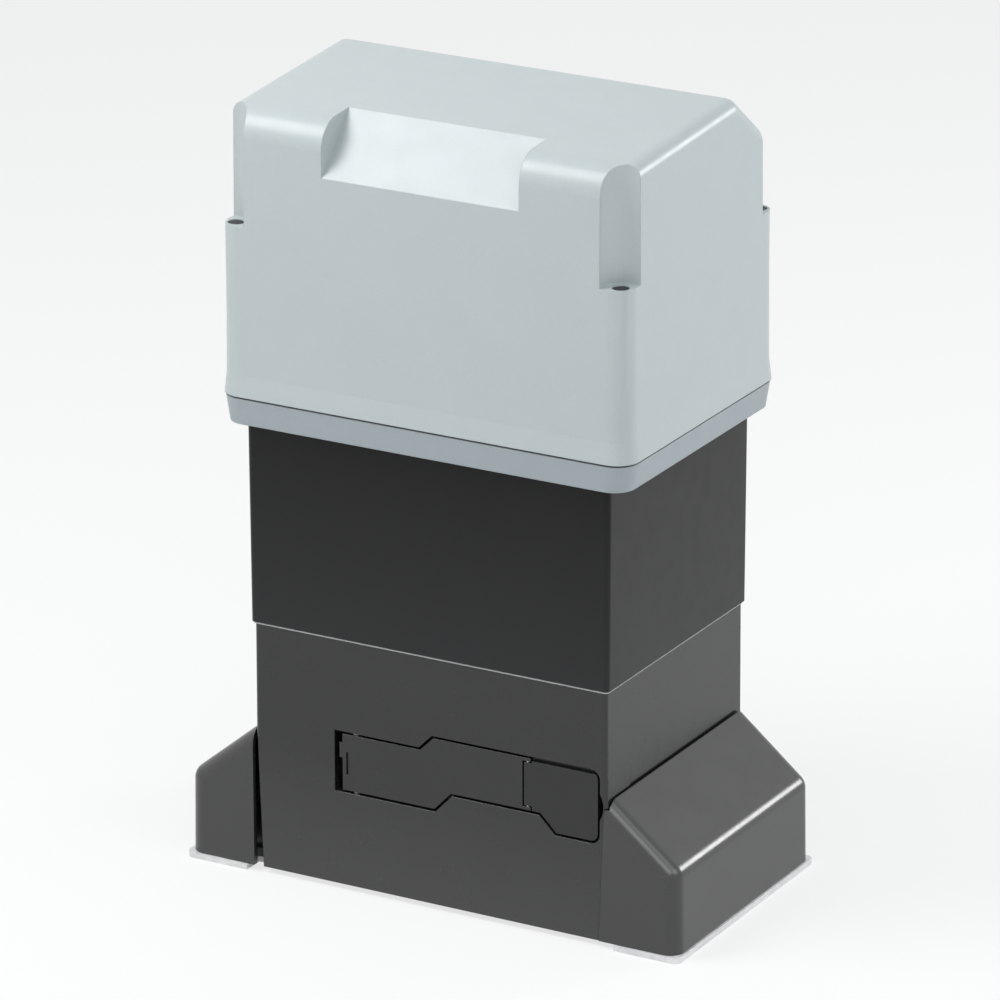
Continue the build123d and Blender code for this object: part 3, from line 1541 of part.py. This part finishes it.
def make_cover_screws():
    seat = ledge_height - cover_screw_head_height
    return screw_set(Plane.XY.offset(seat), 2 * cover_screw_x, 2 * cover_screw_y, cover_screw_head,
                     cover_screw_head_height - cover_screw_recess, cover_screw_radius,
                     seat - tray_band_top + cover_screw_depth)


# Electrical parts


def make_capacitor():
    with BuildPart() as can:
        with BuildSketch(Plane(origin=(capacitor_x, capacitor_y, upper_floor_top))):
            Circle(capacitor_radius)
        extrude(amount=capacitor_height)
        with BuildSketch(Plane(origin=(capacitor_x, capacitor_y, upper_floor_top + capacitor_height))):
            with GridLocations(capacitor_radius, 0, 2, 1):
                Rectangle(capacitor_tag_thickness, capacitor_tag_width)
        extrude(amount=capacitor_tag_height)
    return can.part


def make_capacitor_clamp():
    with BuildPart() as clamp:
        with BuildSketch(Plane.XY.offset(upper_floor_top + clamp_rise)):
            with Locations((capacitor_x, capacitor_y)):
                Circle(capacitor_radius + clamp_thickness + running_gap)
            with Locations((capacitor_x, (capacitor_y - upper_inner_y) / 2)):
                Rectangle(clamp_arm, capacitor_y + upper_inner_y)
            with Locations((capacitor_x, capacitor_y)):
                Circle(capacitor_radius + running_gap, mode=Mode.SUBTRACT)
        extrude(amount=clamp_height)
    return clamp.part


def make_board_holder():
    """A frame on four legs over the cover base that carries the control board."""
    with BuildPart() as holder:
        with BuildSketch(Plane.XY.offset(board_height)):
            with Locations((board_x, 0)):
                Rectangle(board_length, board_depth)
                Rectangle(board_length - 4 * holder_leg, board_depth - 4 * holder_leg, mode=Mode.SUBTRACT)
        extrude(amount=-holder_thickness)
        with BuildSketch(Plane.XY.offset(tray_floor_top)):
            with Locations((board_x, 0)):
                with GridLocations(leg_spacing_x, leg_spacing_y, 2, 2):
                    Rectangle(holder_leg, holder_leg)
        extrude(amount=board_height - holder_thickness - tray_floor_top)
    return holder.part


def make_control_board():
    with BuildPart() as board:
        with BuildSketch(Plane.XY.offset(board_height)):
            with Locations((board_x, 0)):
                RectangleRounded(board_length, board_depth, board_corner_radius)
        extrude(amount=board_thickness)
    return board.part


def make_board_components():
    """Terminal blocks along the front edge and relays behind them, all standing on the board."""
    with BuildPart() as components:
        with BuildSketch(Plane.XY.offset(board_top)):
            with Locations((board_x, terminal_depth - board_depth / 2)):
                with GridLocations(terminal_pitch, 0, terminal_count, 1):
                    Rectangle(terminal_length, terminal_depth)
        extrude(amount=terminal_height)
        with BuildSketch(Plane.XY.offset(board_top)):
            with Locations((board_x - relay_pitch, relay_depth + 2 * terminal_depth - board_depth / 2)):
                with GridLocations(relay_pitch, 0, relay_count, 1):
                    Rectangle(relay_length, relay_depth)
        extrude(amount=relay_height)
    return components.part


def make_transformer():
    """Laminated core round a coil former, standing on the board."""
    place = (board_x + board_length / 2 - transformer_inset_x, board_depth / 2 - transformer_inset_y)
    with BuildPart() as transformer:
        with BuildSketch(Plane.XY.offset(board_top)):
            with Locations(place):
                Rectangle(core_length, core_depth)
        extrude(amount=core_height)
        with BuildSketch(Plane.XY.offset(board_top + (core_height - coil_height) / 2)):
            with Locations(place):
                RectangleRounded(coil_length, coil_depth, coil_radius)
        extrude(amount=coil_height)
    return transformer.part


def make_sensor_bracket():
    seat = upper_depth / 2 + upper_flare
    top = upper_bottom + sensor_rise + sensor_height
    with BuildPart() as bracket:
        with BuildSketch(front_plane(seat)):
            with Locations((0, top)):
                Rectangle(sensor_width, sensor_height)
        extrude(amount=-bracket_thickness)
        with BuildSketch(Plane.XY.offset(top)):
            with Locations((0, seat + (sensor_depth + bracket_lip) / 2)):
                Rectangle(sensor_width, sensor_depth + bracket_lip)
        extrude(amount=bracket_thickness)
    return bracket.part


def make_limit_sensor():
    seat = upper_depth / 2 + upper_flare
    with BuildPart() as sensor:
        with BuildSketch(front_plane(seat + bracket_thickness)):
            with Locations((0, upper_bottom + sensor_rise + sensor_height / 2)):
                RectangleRounded(sensor_width, sensor_height, sensor_radius)
        extrude(amount=-sensor_depth)
    return sensor.part


# Write every piece

export(make_foundation_plate(), "foundation_plate")
export(make_foundation_washers(), "foundation_washers")
export(make_foundation_nuts(), "foundation_nuts")
export(make_lower_housing(), "lower_housing")
export(make_oil_plugs(), "oil_plugs")
export(make_housing_gasket(), "housing_gasket")
export(make_upper_housing(), "upper_housing")
export(screw_set(Plane.XY.offset(upper_floor_top), 2 * joint_screw_x, 2 * joint_screw_y, joint_screw_head,
                 joint_screw_head_height, joint_screw_radius,
                 upper_floor_top - joint_height + joint_screw_depth), "housing_screws")
export(make_cable_grommet(), "cable_grommet")
# Both caps are one moulding, turned half round for the left side
right_cap = make_side_cap()
export(right_cap.rotate(Axis.Z, 180), "side_cap_left")
export(right_cap, "side_cap_right")

export(make_wheel_rim(), "worm_wheel_rim")
export(make_wheel_hub(), "worm_wheel_hub")
export(make_worm_shaft(), "worm_shaft")
export(bearing_pair(worm_bearing_low, worm_bearing_high), "worm_bearings")
export(ring(axis_plane(front_bearing_front), front_bearing_radius, output_shaft_radius + running_gap,
            front_bearing_width), "output_bearing_front")
export(ring(axis_plane(rear_bearing_front), large_bearing_radius, output_shaft_radius + running_gap,
            large_bearing_width), "output_bearing_rear")
export(ring(axis_plane(seal_front), seal_radius, spacer_radius + running_gap, seal_width - parting_gap), "output_seal")
export(ring(axis_plane(spacer_front), spacer_radius, output_shaft_radius + bearing_gap,
            pinion_front - spacer_front), "spacer_sleeve")
export(make_output_shaft(), "output_shaft")
export(make_pinion(), "pinion")
export(make_pinion_key(), "pinion_key")
export(ring(axis_plane(pinion_back), end_washer_radius, end_bolt_radius + running_gap, end_washer_thickness),
       "pinion_washer")
export(make_pinion_bolt(), "pinion_bolt")

export(make_dog_sleeve(), "dog_sleeve")
export(make_release_rod(), "release_rod")
export(make_cross_pin(), "cross_pin")
export(make_release_spring(), "release_spring")
export(make_push_plate(), "push_plate")

export(make_release_lever(), "release_lever")
export(make_lever_hinge_pin(), "lever_hinge_pin")
export(make_lock_flap(), "lock_flap")
export(make_flap_hinge_pin(), "flap_hinge_pin")
export(make_lock_cylinder(), "lock_cylinder")
export(make_latch_arm(), "latch_arm")

export(make_motor_flange(upper_floor_top, 1), "motor_flange_lower")
export(make_motor_flange(upper_flange_top, -1), "motor_flange_upper")
export(make_stator_core(), "stator_core")
export(make_stator_windings(), "stator_windings")
export(bearing_pair(upper_floor_top + flange_floor - small_bearing_width, upper_flange_top - flange_floor),
       "motor_bearings")
export(ring(motor_plane(stator_bottom), stator_bore_radius - air_gap, motor_shaft_radius + bearing_gap,
            stator_height), "rotor_core")
export(make_motor_shaft(), "motor_shaft")
export(make_clutch_adjuster(), "clutch_adjuster")
export(make_clutch_drum(), "clutch_drum")
export(make_clutch_discs(), "clutch_discs")
export(make_clutch_spring(), "clutch_spring")

export(make_cover_base(), "cover_base")
export(screw_set(Plane.XY.offset(tray_floor_top), 2 * tray_screw_x, 2 * tray_screw_y, tray_screw_head,
                 tray_screw_radius, tray_screw_radius, tray_floor_thickness + tray_screw_depth),
       "cover_base_screws")
export(make_cover_seal(), "cover_seal")
export(make_cover(), "cover")
export(make_cover_screws(), "cover_screws")

export(make_capacitor(), "capacitor")
export(make_capacitor_clamp(), "capacitor_clamp")
export(make_board_holder(), "board_holder")
export(make_control_board(), "control_board")
export(make_board_components(), "board_components")
export(make_transformer(), "transformer")
export(make_sensor_bracket(), "sensor_bracket")
export(make_limit_sensor(), "limit_sensor")
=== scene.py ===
from math import cos, radians, sin

import bpy
from mathutils import Matrix, Vector


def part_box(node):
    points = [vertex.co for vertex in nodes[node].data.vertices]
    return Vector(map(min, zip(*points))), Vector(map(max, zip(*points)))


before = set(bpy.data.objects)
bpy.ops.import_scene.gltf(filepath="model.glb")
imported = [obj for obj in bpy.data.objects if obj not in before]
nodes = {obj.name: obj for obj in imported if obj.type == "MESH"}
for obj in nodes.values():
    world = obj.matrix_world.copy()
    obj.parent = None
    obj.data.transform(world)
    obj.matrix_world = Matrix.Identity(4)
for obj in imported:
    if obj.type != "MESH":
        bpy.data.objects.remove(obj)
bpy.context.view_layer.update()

# Sliding gate motor. Metres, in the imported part's own frame: +Z up, the front faces -Y.

MM = 0.001
WHITE = (1, 1, 1, 1)
scene = bpy.context.scene
lower_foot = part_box("lower_housing")[0].z
upper_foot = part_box("upper_housing")[0].z

# Camera: the photograph's viewing angle, found by fitting its edges to the object's

CAMERA_AZIMUTH = 29.333
CAMERA_ELEVATION = 20.044
CAMERA_ROLL = -0.146
CAMERA_LENS = 250.9
CAMERA_SENSOR = 36.0
CAMERA_DISTANCE = 3462.05 * MM
CAMERA_CLIP_END = 50.0
CAMERA_TARGET = Vector((0, 0, 193 * MM))
CAMERA_SHIFT_RIGHT = 0.498 * MM
CAMERA_SHIFT_UP = 0.428 * MM

# Studio

FLOOR_SIZE = 12.0
FLOOR_DROP = 0.2 * MM
FLOOR_COLOR = (0.92, 0.92, 0.92, 1)
FLOOR_GLOW = 0.72
WORLD_COLOR = (0.93, 0.97, 1.0, 1)
WORLD_STRENGTH = 0.40
BACKDROP_STRENGTH = 1.0
RIGHT_LIGHT_COLOR = (0.93, 0.965, 1.0)


def direction(azimuth, elevation):
    """The direction from the object to a place seen at an azimuth from the front and an elevation."""
    a, e = radians(azimuth), radians(elevation)
    return Vector((sin(a) * cos(e), -cos(a) * cos(e), sin(e)))


def make_camera():
    back = direction(CAMERA_AZIMUTH, CAMERA_ELEVATION)
    level = Vector((0, 0, 1)).cross(back).normalized()
    upright = back.cross(level)
    roll = radians(CAMERA_ROLL)
    right = level * cos(roll) + upright * sin(roll)
    up = upright * cos(roll) - level * sin(roll)
    shift = right * CAMERA_SHIFT_RIGHT + up * CAMERA_SHIFT_UP
    place = CAMERA_TARGET + back * CAMERA_DISTANCE + shift
    data = bpy.data.cameras.new("camera")
    data.lens = CAMERA_LENS
    data.sensor_width = CAMERA_SENSOR
    data.clip_end = CAMERA_CLIP_END
    camera = bpy.data.objects.new("camera", data)
    turn = Matrix((right, up, back)).transposed()
    camera.matrix_world = Matrix.Translation(place) @ turn.to_4x4()
    scene.collection.objects.link(camera)
    scene.camera = camera


def make_light(name, azimuth, elevation, distance, size, power, color=WHITE[:3]):
    data = bpy.data.lights.new(name, "AREA")
    data.shape = "DISK"
    data.size = size
    data.energy = power
    data.color = color
    light = bpy.data.objects.new(name, data)
    away = direction(azimuth, elevation)
    light.location = CAMERA_TARGET + away * distance
    light.rotation_euler = away.to_track_quat("Z", "Y").to_euler()
    scene.collection.objects.link(light)


def make_lights():
    # The key light brightens the cover's front from the left, and the right one its right side.
    make_light("key", azimuth=-46, elevation=50, distance=1.35, size=0.8, power=10.5)
    make_light("right", azimuth=82, elevation=35, distance=2.2, size=1.4, power=9.5,
               color=RIGHT_LIGHT_COLOR)
    make_light("front", azimuth=36, elevation=40, distance=2.4, size=1.2, power=8)
    make_light("top", azimuth=20, elevation=85, distance=2.2, size=1.6, power=2.5)
    # The low light behind gives the right side cap the bright band along its upper edge.
    make_light("rim", azimuth=142, elevation=12, distance=1.6, size=0.5, power=6.5)


# Node helpers


class Graph:
    """A short way to write a material's nodes."""

    def __init__(self, tree):
        self.tree = tree
        tree.nodes.clear()

    def node(self, kind, **values):
        made = self.tree.nodes.new(kind)
        for key, value in values.items():
            setattr(made, key, value)
        return made

    def link(self, source, target):
        self.tree.links.new(source, target)

    def object_place(self):
        return self.node("ShaderNodeTexCoord").outputs["Object"]

    def height(self):
        split = self.node("ShaderNodeSeparateXYZ")
        self.link(self.object_place(), split.inputs["Vector"])
        return split.outputs["Z"]

    def noise(self, scale, detail, roughness=0.5, stretch=None):
        place = self.object_place()
        if stretch:
            mapping = self.node("ShaderNodeMapping")
            mapping.inputs["Scale"].default_value = stretch
            self.link(place, mapping.inputs["Vector"])
            place = mapping.outputs["Vector"]
        texture = self.node("ShaderNodeTexNoise")
        texture.inputs["Scale"].default_value = scale
        texture.inputs["Detail"].default_value = detail
        texture.inputs["Roughness"].default_value = roughness
        self.link(place, texture.inputs["Vector"])
        return texture.outputs["Fac"]

    def cells(self, scale):
        """A number from 0 to 1 that is the same all over a cell and differs from cell to cell."""
        texture = self.node("ShaderNodeTexVoronoi")
        texture.inputs["Scale"].default_value = scale
        self.link(self.object_place(), texture.inputs["Vector"])
        split = self.node("ShaderNodeSeparateColor")
        self.link(texture.outputs["Color"], split.inputs["Color"])
        return split.outputs["Red"]

    def spread(self, value, low, high, start=0.3, end=0.7):
        """The value remapped from start..end, by default a noise's usual range, to low..high."""
        scale = self.node("ShaderNodeMapRange")
        scale.inputs["From Min"].default_value = start
        scale.inputs["From Max"].default_value = end
        scale.inputs["To Min"].default_value = low
        scale.inputs["To Max"].default_value = high
        self.link(value, scale.inputs["Value"])
        return scale.outputs["Result"]

    def math(self, operation, first, second):
        step = self.node("ShaderNodeMath", operation=operation)
        for socket, value in zip(step.inputs, (first, second)):
            if isinstance(value, float):
                socket.default_value = value
            else:
                self.link(value, socket)
        return step.outputs["Value"]

    def mix(self, share, first, second):
        blend = self.node("ShaderNodeMix", data_type="RGBA")
        self.link(share, blend.inputs["Factor"])
        for socket, value in ((blend.inputs["A"], first), (blend.inputs["B"], second)):
            if isinstance(value, tuple):
                socket.default_value = value
            else:
                self.link(value, socket)
        return blend.outputs["Result"]

    def rounded(self, radius, samples):
        bevel = self.node("ShaderNodeBevel", samples=samples)
        bevel.inputs["Radius"].default_value = radius
        return bevel.outputs["Normal"]

    def mix_shaders(self, share, first, second):
        mixed = self.node("ShaderNodeMixShader")
        self.link(share, mixed.inputs["Fac"])
        for socket, shader in zip(mixed.inputs[1:], (first, second)):
            self.link(shader, socket)
        return mixed.outputs["Shader"]


# Surfaces

SPECK_SHARE = 0.35
SPECK_SHADE = 0.72
FLAKE_SCALE = 220.0
FLAKE_SHADE = 0.6
WEAR_SCALE = 180.0
WEAR_SAMPLES = 6
WEAR_START = 0.98
WEAR_FULL = 0.80
GLOSS_SCALE = 2.3
GLOSS_LOW = 0.88
GLOSS_HIGH = 1.14
RELIEF_SCALE = 0.8
FINE_RELIEF = 0.004
BRUSH_STRETCH = (1.0, 1.0, 0.03)
EDGE_SAMPLES = 4


def shade(color, factor):
    return tuple(min(1.0, channel * factor) for channel in color[:3]) + (1,)


def mottled(g, color, mottle, scale):
    """The colour, lighter and darker in soft clouds."""
    cloud = g.noise(scale, detail=5.0, roughness=0.6)
    return g.mix(g.spread(cloud, 0.0, 1.0), shade(color, 1 - mottle), shade(color, 1 + mottle))


def speckled(g, tone, color, scale):
    """The tone with fine darker specks."""
    speck = g.noise(scale, detail=2.0)
    return g.mix(g.spread(speck, 0.0, SPECK_SHARE), tone, shade(color, SPECK_SHADE))


def painted_bounce_light(g, tone, color, factor, foot, height):
    """Painted light: the colour times factor at the foot, and the tone itself from that height above
    it. The lighter foot stands in for light thrown up from the floor.
    """
    share = g.spread(g.height(), 1.0, 0.0, foot, foot + height)
    return g.mix(share, tone, shade(color, factor))


def spangled(g, tone, color, spangle):
    """The tone with the crystal flakes of hot dip galvanising."""
    share = g.spread(g.cells(FLAKE_SCALE), 0.0, spangle, 0.0, 1.0)
    return g.mix(share, tone, shade(color, FLAKE_SHADE))


def worn_at_edges(g, tone, radius, metal):
    """The tone with bare metal along the edges, where the rounded normal leaves the flat one."""
    dot = g.node("ShaderNodeVectorMath", operation="DOT_PRODUCT")
    g.link(g.rounded(radius, WEAR_SAMPLES), dot.inputs[0])
    g.link(g.node("ShaderNodeNewGeometry").outputs["Normal"], dot.inputs[1])
    edge = g.spread(dot.outputs["Value"], 1.0, 0.0, WEAR_FULL, WEAR_START)
    patches = g.spread(g.noise(WEAR_SCALE, detail=6.0), 0.0, 1.0, 0.35, 0.6)
    return g.mix(g.math("MULTIPLY", edge, patches), tone, metal)


def uneven_gloss(g, roughness, scale):
    gloss = g.noise(scale * GLOSS_SCALE, detail=4.0)
    return g.spread(gloss, roughness * GLOSS_LOW, min(1.0, roughness * GLOSS_HIGH))


def relief_normal(g, relief, depth, edge_radius):
    """The normal with a fine relief, depth in mm, on edges rounded by edge_radius."""
    bump = g.node("ShaderNodeBump")
    bump.inputs["Strength"].default_value = 1.0
    bump.inputs["Distance"].default_value = depth * MM
    g.link(relief, bump.inputs["Height"])
    g.link(g.rounded(edge_radius, EDGE_SAMPLES), bump.inputs["Normal"])
    return bump.outputs["Normal"]


def make_material(name, color, roughness, metallic=0.0, specular=0.5, coat=0.0, mottle=0.06,
                  mottle_scale=35.0, grain=0.0, grain_scale=2500.0, brushed=None, spangle=0.0,
                  painted_bounce=None, worn=None, worn_color=None, edge_radius=0.4 * MM):
    """A procedural surface with mottled colour, uneven gloss, fine relief and rounded edges.

    grain: depth of the grain in mm, which also has darker specks
    brushed: scale of brush marks drawn out along Z, in place of grain
    spangle: share of the darker tone in the darkest flakes
    painted_bounce: (factor, foot, height), painted light that makes the colour lighter towards the
    foot, see painted_bounce_light
    worn: radius of the worn edges, which show worn_color
    """
    material = bpy.data.materials.new(name)
    material.use_nodes = True
    g = Graph(material.node_tree)
    tone = mottled(g, color, mottle, mottle_scale)
    if grain:
        tone = speckled(g, tone, color, grain_scale)
    # Painted light: the colour grows lighter towards the part's foot, for light thrown up from the
    # floor.
    if painted_bounce:
        tone = painted_bounce_light(g, tone, color, *painted_bounce)
    if spangle:
        tone = spangled(g, tone, color, spangle)
    if worn:
        tone = worn_at_edges(g, tone, worn, worn_color)
    if brushed:
        relief = g.noise(brushed, detail=3.0, stretch=BRUSH_STRETCH)
    else:
        relief = g.noise(grain_scale * RELIEF_SCALE, detail=3.0, roughness=0.65)
    shader = g.node("ShaderNodeBsdfPrincipled")
    shader.inputs["Metallic"].default_value = metallic
    shader.inputs["Specular IOR Level"].default_value = specular
    shader.inputs["Coat Weight"].default_value = coat
    g.link(tone, shader.inputs["Base Color"])
    g.link(uneven_gloss(g, roughness, mottle_scale), shader.inputs["Roughness"])
    g.link(relief_normal(g, relief, grain or FINE_RELIEF, edge_radius), shader.inputs["Normal"])
    output = g.node("ShaderNodeOutputMaterial")
    g.link(shader.outputs["BSDF"], output.inputs["Surface"])
    return material


# Materials

COVER_COLOR = (0.50, 0.555, 0.558, 1)
TRAY_COLOR = (0.36, 0.405, 0.425, 1)
UPPER_COLOR = (0.0075, 0.0075, 0.0078, 1)
# LOWER_COLOR is a little lighter than UPPER_COLOR as painted light, for the light thrown up from the
# floor onto the lower casting and onto the lever and flap in its front.
LOWER_COLOR = (0.012, 0.012, 0.0122, 1)
CAP_COLOR = (0.024, 0.024, 0.0244, 1)
BARE_METAL = (0.30, 0.30, 0.31, 1)
RUBBED_STEEL = (0.65, 0.65, 0.66, 1)
# Painted light: the heights over which the castings grow lighter towards their foot, for light thrown
# up from the floor.
UPPER_BOUNCE_HEIGHT = 100 * MM
LOWER_BOUNCE_HEIGHT = 72 * MM
WORN_RADIUS = 0.5 * MM

MATERIALS = {
    "cover_plastic": dict(color=COVER_COLOR, roughness=0.33, mottle=0.012, grain=0.004,
                          grain_scale=3000.0, edge_radius=0.8 * MM),
    "tray_plastic": dict(color=TRAY_COLOR, roughness=0.45, mottle=0.012, grain=0.004,
                         edge_radius=0.8 * MM),
    "casting_upper": dict(color=UPPER_COLOR, roughness=0.34, specular=0.22, mottle=0.12,
                          grain=0.006, grain_scale=1500.0, painted_bounce=(3.0, upper_foot, UPPER_BOUNCE_HEIGHT),
                          worn=WORN_RADIUS, worn_color=BARE_METAL, edge_radius=0.7 * MM),
    "casting_lower": dict(color=LOWER_COLOR, roughness=0.25, specular=0.6, mottle=0.10,
                          grain=0.006, grain_scale=1500.0, painted_bounce=(3.2, lower_foot, LOWER_BOUNCE_HEIGHT),
                          edge_radius=0.7 * MM),
    "lever_paint": dict(color=LOWER_COLOR, roughness=0.25, specular=0.6, mottle=0.10,
                        grain=0.006, grain_scale=1500.0),
    "flap_plastic": dict(color=LOWER_COLOR, roughness=0.34, grain=0.004, grain_scale=1800.0,
                         edge_radius=0.3 * MM),
    "cap_plastic": dict(color=CAP_COLOR, roughness=0.23, specular=0.8, mottle=0.05,
                        grain=0.003, grain_scale=2000.0, edge_radius=0.6 * MM),
    "galvanised": dict(color=(0.80, 0.80, 0.80, 1), roughness=0.45, metallic=0.25, mottle=0.05,
                       spangle=0.3),
    "gasket_sheet": dict(color=(0.60, 0.61, 0.60, 1), roughness=0.75, mottle=0.05, grain=0.02),
    "seal_rubber": dict(color=(0.035, 0.035, 0.036, 1), roughness=0.7, mottle=0.1, grain=0.01),
    "zinc": dict(color=(0.66, 0.66, 0.64, 1), roughness=0.34, metallic=1.0, mottle=0.08,
                 brushed=400.0),
    "machined": dict(color=(0.56, 0.56, 0.57, 1), roughness=0.28, metallic=1.0, mottle=0.04,
                     brushed=900.0),
    "gear_steel": dict(color=(0.40, 0.40, 0.42, 1), roughness=0.34, metallic=1.0, mottle=0.08,
                       brushed=700.0, worn=WORN_RADIUS, worn_color=RUBBED_STEEL),
    "bearing_steel": dict(color=(0.62, 0.62, 0.63, 1), roughness=0.2, metallic=1.0, mottle=0.03,
                          brushed=1200.0),
    "bronze": dict(color=(0.55, 0.36, 0.16, 1), roughness=0.33, metallic=1.0, mottle=0.1,
                   brushed=700.0),
    "cast_aluminium": dict(color=(0.60, 0.61, 0.62, 1), roughness=0.5, metallic=0.9, mottle=0.08,
                           grain=0.03, grain_scale=1200.0),
    "lamination": dict(color=(0.20, 0.20, 0.215, 1), roughness=0.45, metallic=0.8, mottle=0.08,
                       brushed=6000.0),
    "copper": dict(color=(0.50, 0.20, 0.075, 1), roughness=0.36, metallic=0.7, mottle=0.2,
                   brushed=3000.0, coat=0.4),
    "friction": dict(color=(0.16, 0.13, 0.10, 1), roughness=0.8, mottle=0.2, grain=0.04),
    "spring_steel": dict(color=(0.26, 0.26, 0.27, 1), roughness=0.36, metallic=1.0, mottle=0.1),
    "brass": dict(color=(0.62, 0.46, 0.18, 1), roughness=0.3, metallic=1.0, mottle=0.08,
                  brushed=900.0),
    "white_plastic": dict(color=(0.62, 0.63, 0.61, 1), roughness=0.45, mottle=0.02, grain=0.006),
    "black_plastic": dict(color=(0.022, 0.022, 0.024, 1), roughness=0.45, mottle=0.08,
                          grain=0.01),
    "board": dict(color=(0.02, 0.10, 0.045, 1), roughness=0.35, mottle=0.25, mottle_scale=120.0,
                  coat=0.3),
    "green_plastic": dict(color=(0.03, 0.22, 0.11, 1), roughness=0.4, mottle=0.04, grain=0.006),
}

NODE_MATERIALS = {
    "cover_plastic": ["cover"],
    "tray_plastic": ["cover_base"],
    "casting_upper": ["upper_housing"],
    "casting_lower": ["lower_housing"],
    "lever_paint": ["release_lever"],
    "flap_plastic": ["lock_flap"],
    "cap_plastic": ["side_cap_left", "side_cap_right"],
    "galvanised": ["foundation_plate"],
    "gasket_sheet": ["housing_gasket"],
    "seal_rubber": ["cover_seal", "output_seal", "cable_grommet"],
    "zinc": ["foundation_washers", "foundation_nuts", "oil_plugs", "housing_screws",
             "pinion_washer", "pinion_bolt", "push_plate", "latch_arm", "cover_base_screws",
             "capacitor_clamp", "sensor_bracket", "clutch_adjuster"],
    "machined": ["spacer_sleeve", "output_shaft", "pinion_key", "release_rod", "cross_pin",
                 "lever_hinge_pin", "flap_hinge_pin", "motor_shaft", "clutch_drum"],
    "gear_steel": ["worm_wheel_hub", "worm_shaft", "pinion", "dog_sleeve"],
    "bearing_steel": ["worm_bearings", "motor_bearings", "output_bearing_front",
                      "output_bearing_rear"],
    "bronze": ["worm_wheel_rim"],
    "cast_aluminium": ["motor_flange_lower", "motor_flange_upper", "capacitor"],
    "lamination": ["stator_core", "rotor_core", "transformer"],
    "copper": ["stator_windings"],
    "friction": ["clutch_discs"],
    "spring_steel": ["release_spring", "clutch_spring"],
    "brass": ["lock_cylinder"],
    "white_plastic": ["board_holder"],
    "black_plastic": ["cover_screws", "limit_sensor"],
    "board": ["control_board"],
    "green_plastic": ["board_components"],
}


def dress_nodes():
    for name, members in NODE_MATERIALS.items():
        material = make_material(name, **MATERIALS[name])
        for member in members:
            mesh = nodes[member].data
            mesh.materials.clear()
            mesh.materials.append(material)


# World and floor


def seen_directly(g):
    """1 for the camera's rays and for reflected and transmitted ones, else 0."""
    path = g.node("ShaderNodeLightPath")
    seen = g.math("MAXIMUM", path.outputs["Is Camera Ray"], path.outputs["Is Glossy Ray"])
    return g.math("MAXIMUM", seen, path.outputs["Is Transmission Ray"])


def background(g, color, strength):
    light = g.node("ShaderNodeBackground")
    light.inputs["Color"].default_value = color
    light.inputs["Strength"].default_value = strength
    return light.outputs["Background"]


def make_world():
    world = bpy.data.worlds.new("studio")
    world.use_nodes = True
    scene.world = world
    g = Graph(world.node_tree)
    soft = background(g, WORLD_COLOR, WORLD_STRENGTH)
    backdrop = background(g, WHITE, BACKDROP_STRENGTH)
    output = g.node("ShaderNodeOutputWorld")
    g.link(g.mix_shaders(seen_directly(g), soft, backdrop), output.inputs["Surface"])


def floor_paper():
    """White paper that glows a little where it is seen, so that it fades into the backdrop."""
    material = bpy.data.materials.new("floor_paper")
    material.use_nodes = True
    g = Graph(material.node_tree)
    paper = g.node("ShaderNodeBsdfDiffuse")
    paper.inputs["Color"].default_value = FLOOR_COLOR
    glow = g.node("ShaderNodeEmission")
    glow.inputs["Color"].default_value = WHITE
    share = g.math("MULTIPLY", seen_directly(g), FLOOR_GLOW)
    output = g.node("ShaderNodeOutputMaterial")
    mixed = g.mix_shaders(share, paper.outputs["BSDF"], glow.outputs["Emission"])
    g.link(mixed, output.inputs["Surface"])
    return material


def make_floor():
    mesh = bpy.data.meshes.new("floor")
    half = FLOOR_SIZE / 2
    corners = [(-half, -half, 0), (half, -half, 0), (half, half, 0), (-half, half, 0)]
    mesh.from_pydata(corners, [], [(0, 1, 2, 3)])
    mesh.materials.append(floor_paper())
    floor = bpy.data.objects.new("floor", mesh)
    floor.location.z = -FLOOR_DROP
    scene.collection.objects.link(floor)


scene.view_settings.view_transform = "Standard"
make_camera()
make_world()
make_floor()
make_lights()
dress_nodes()
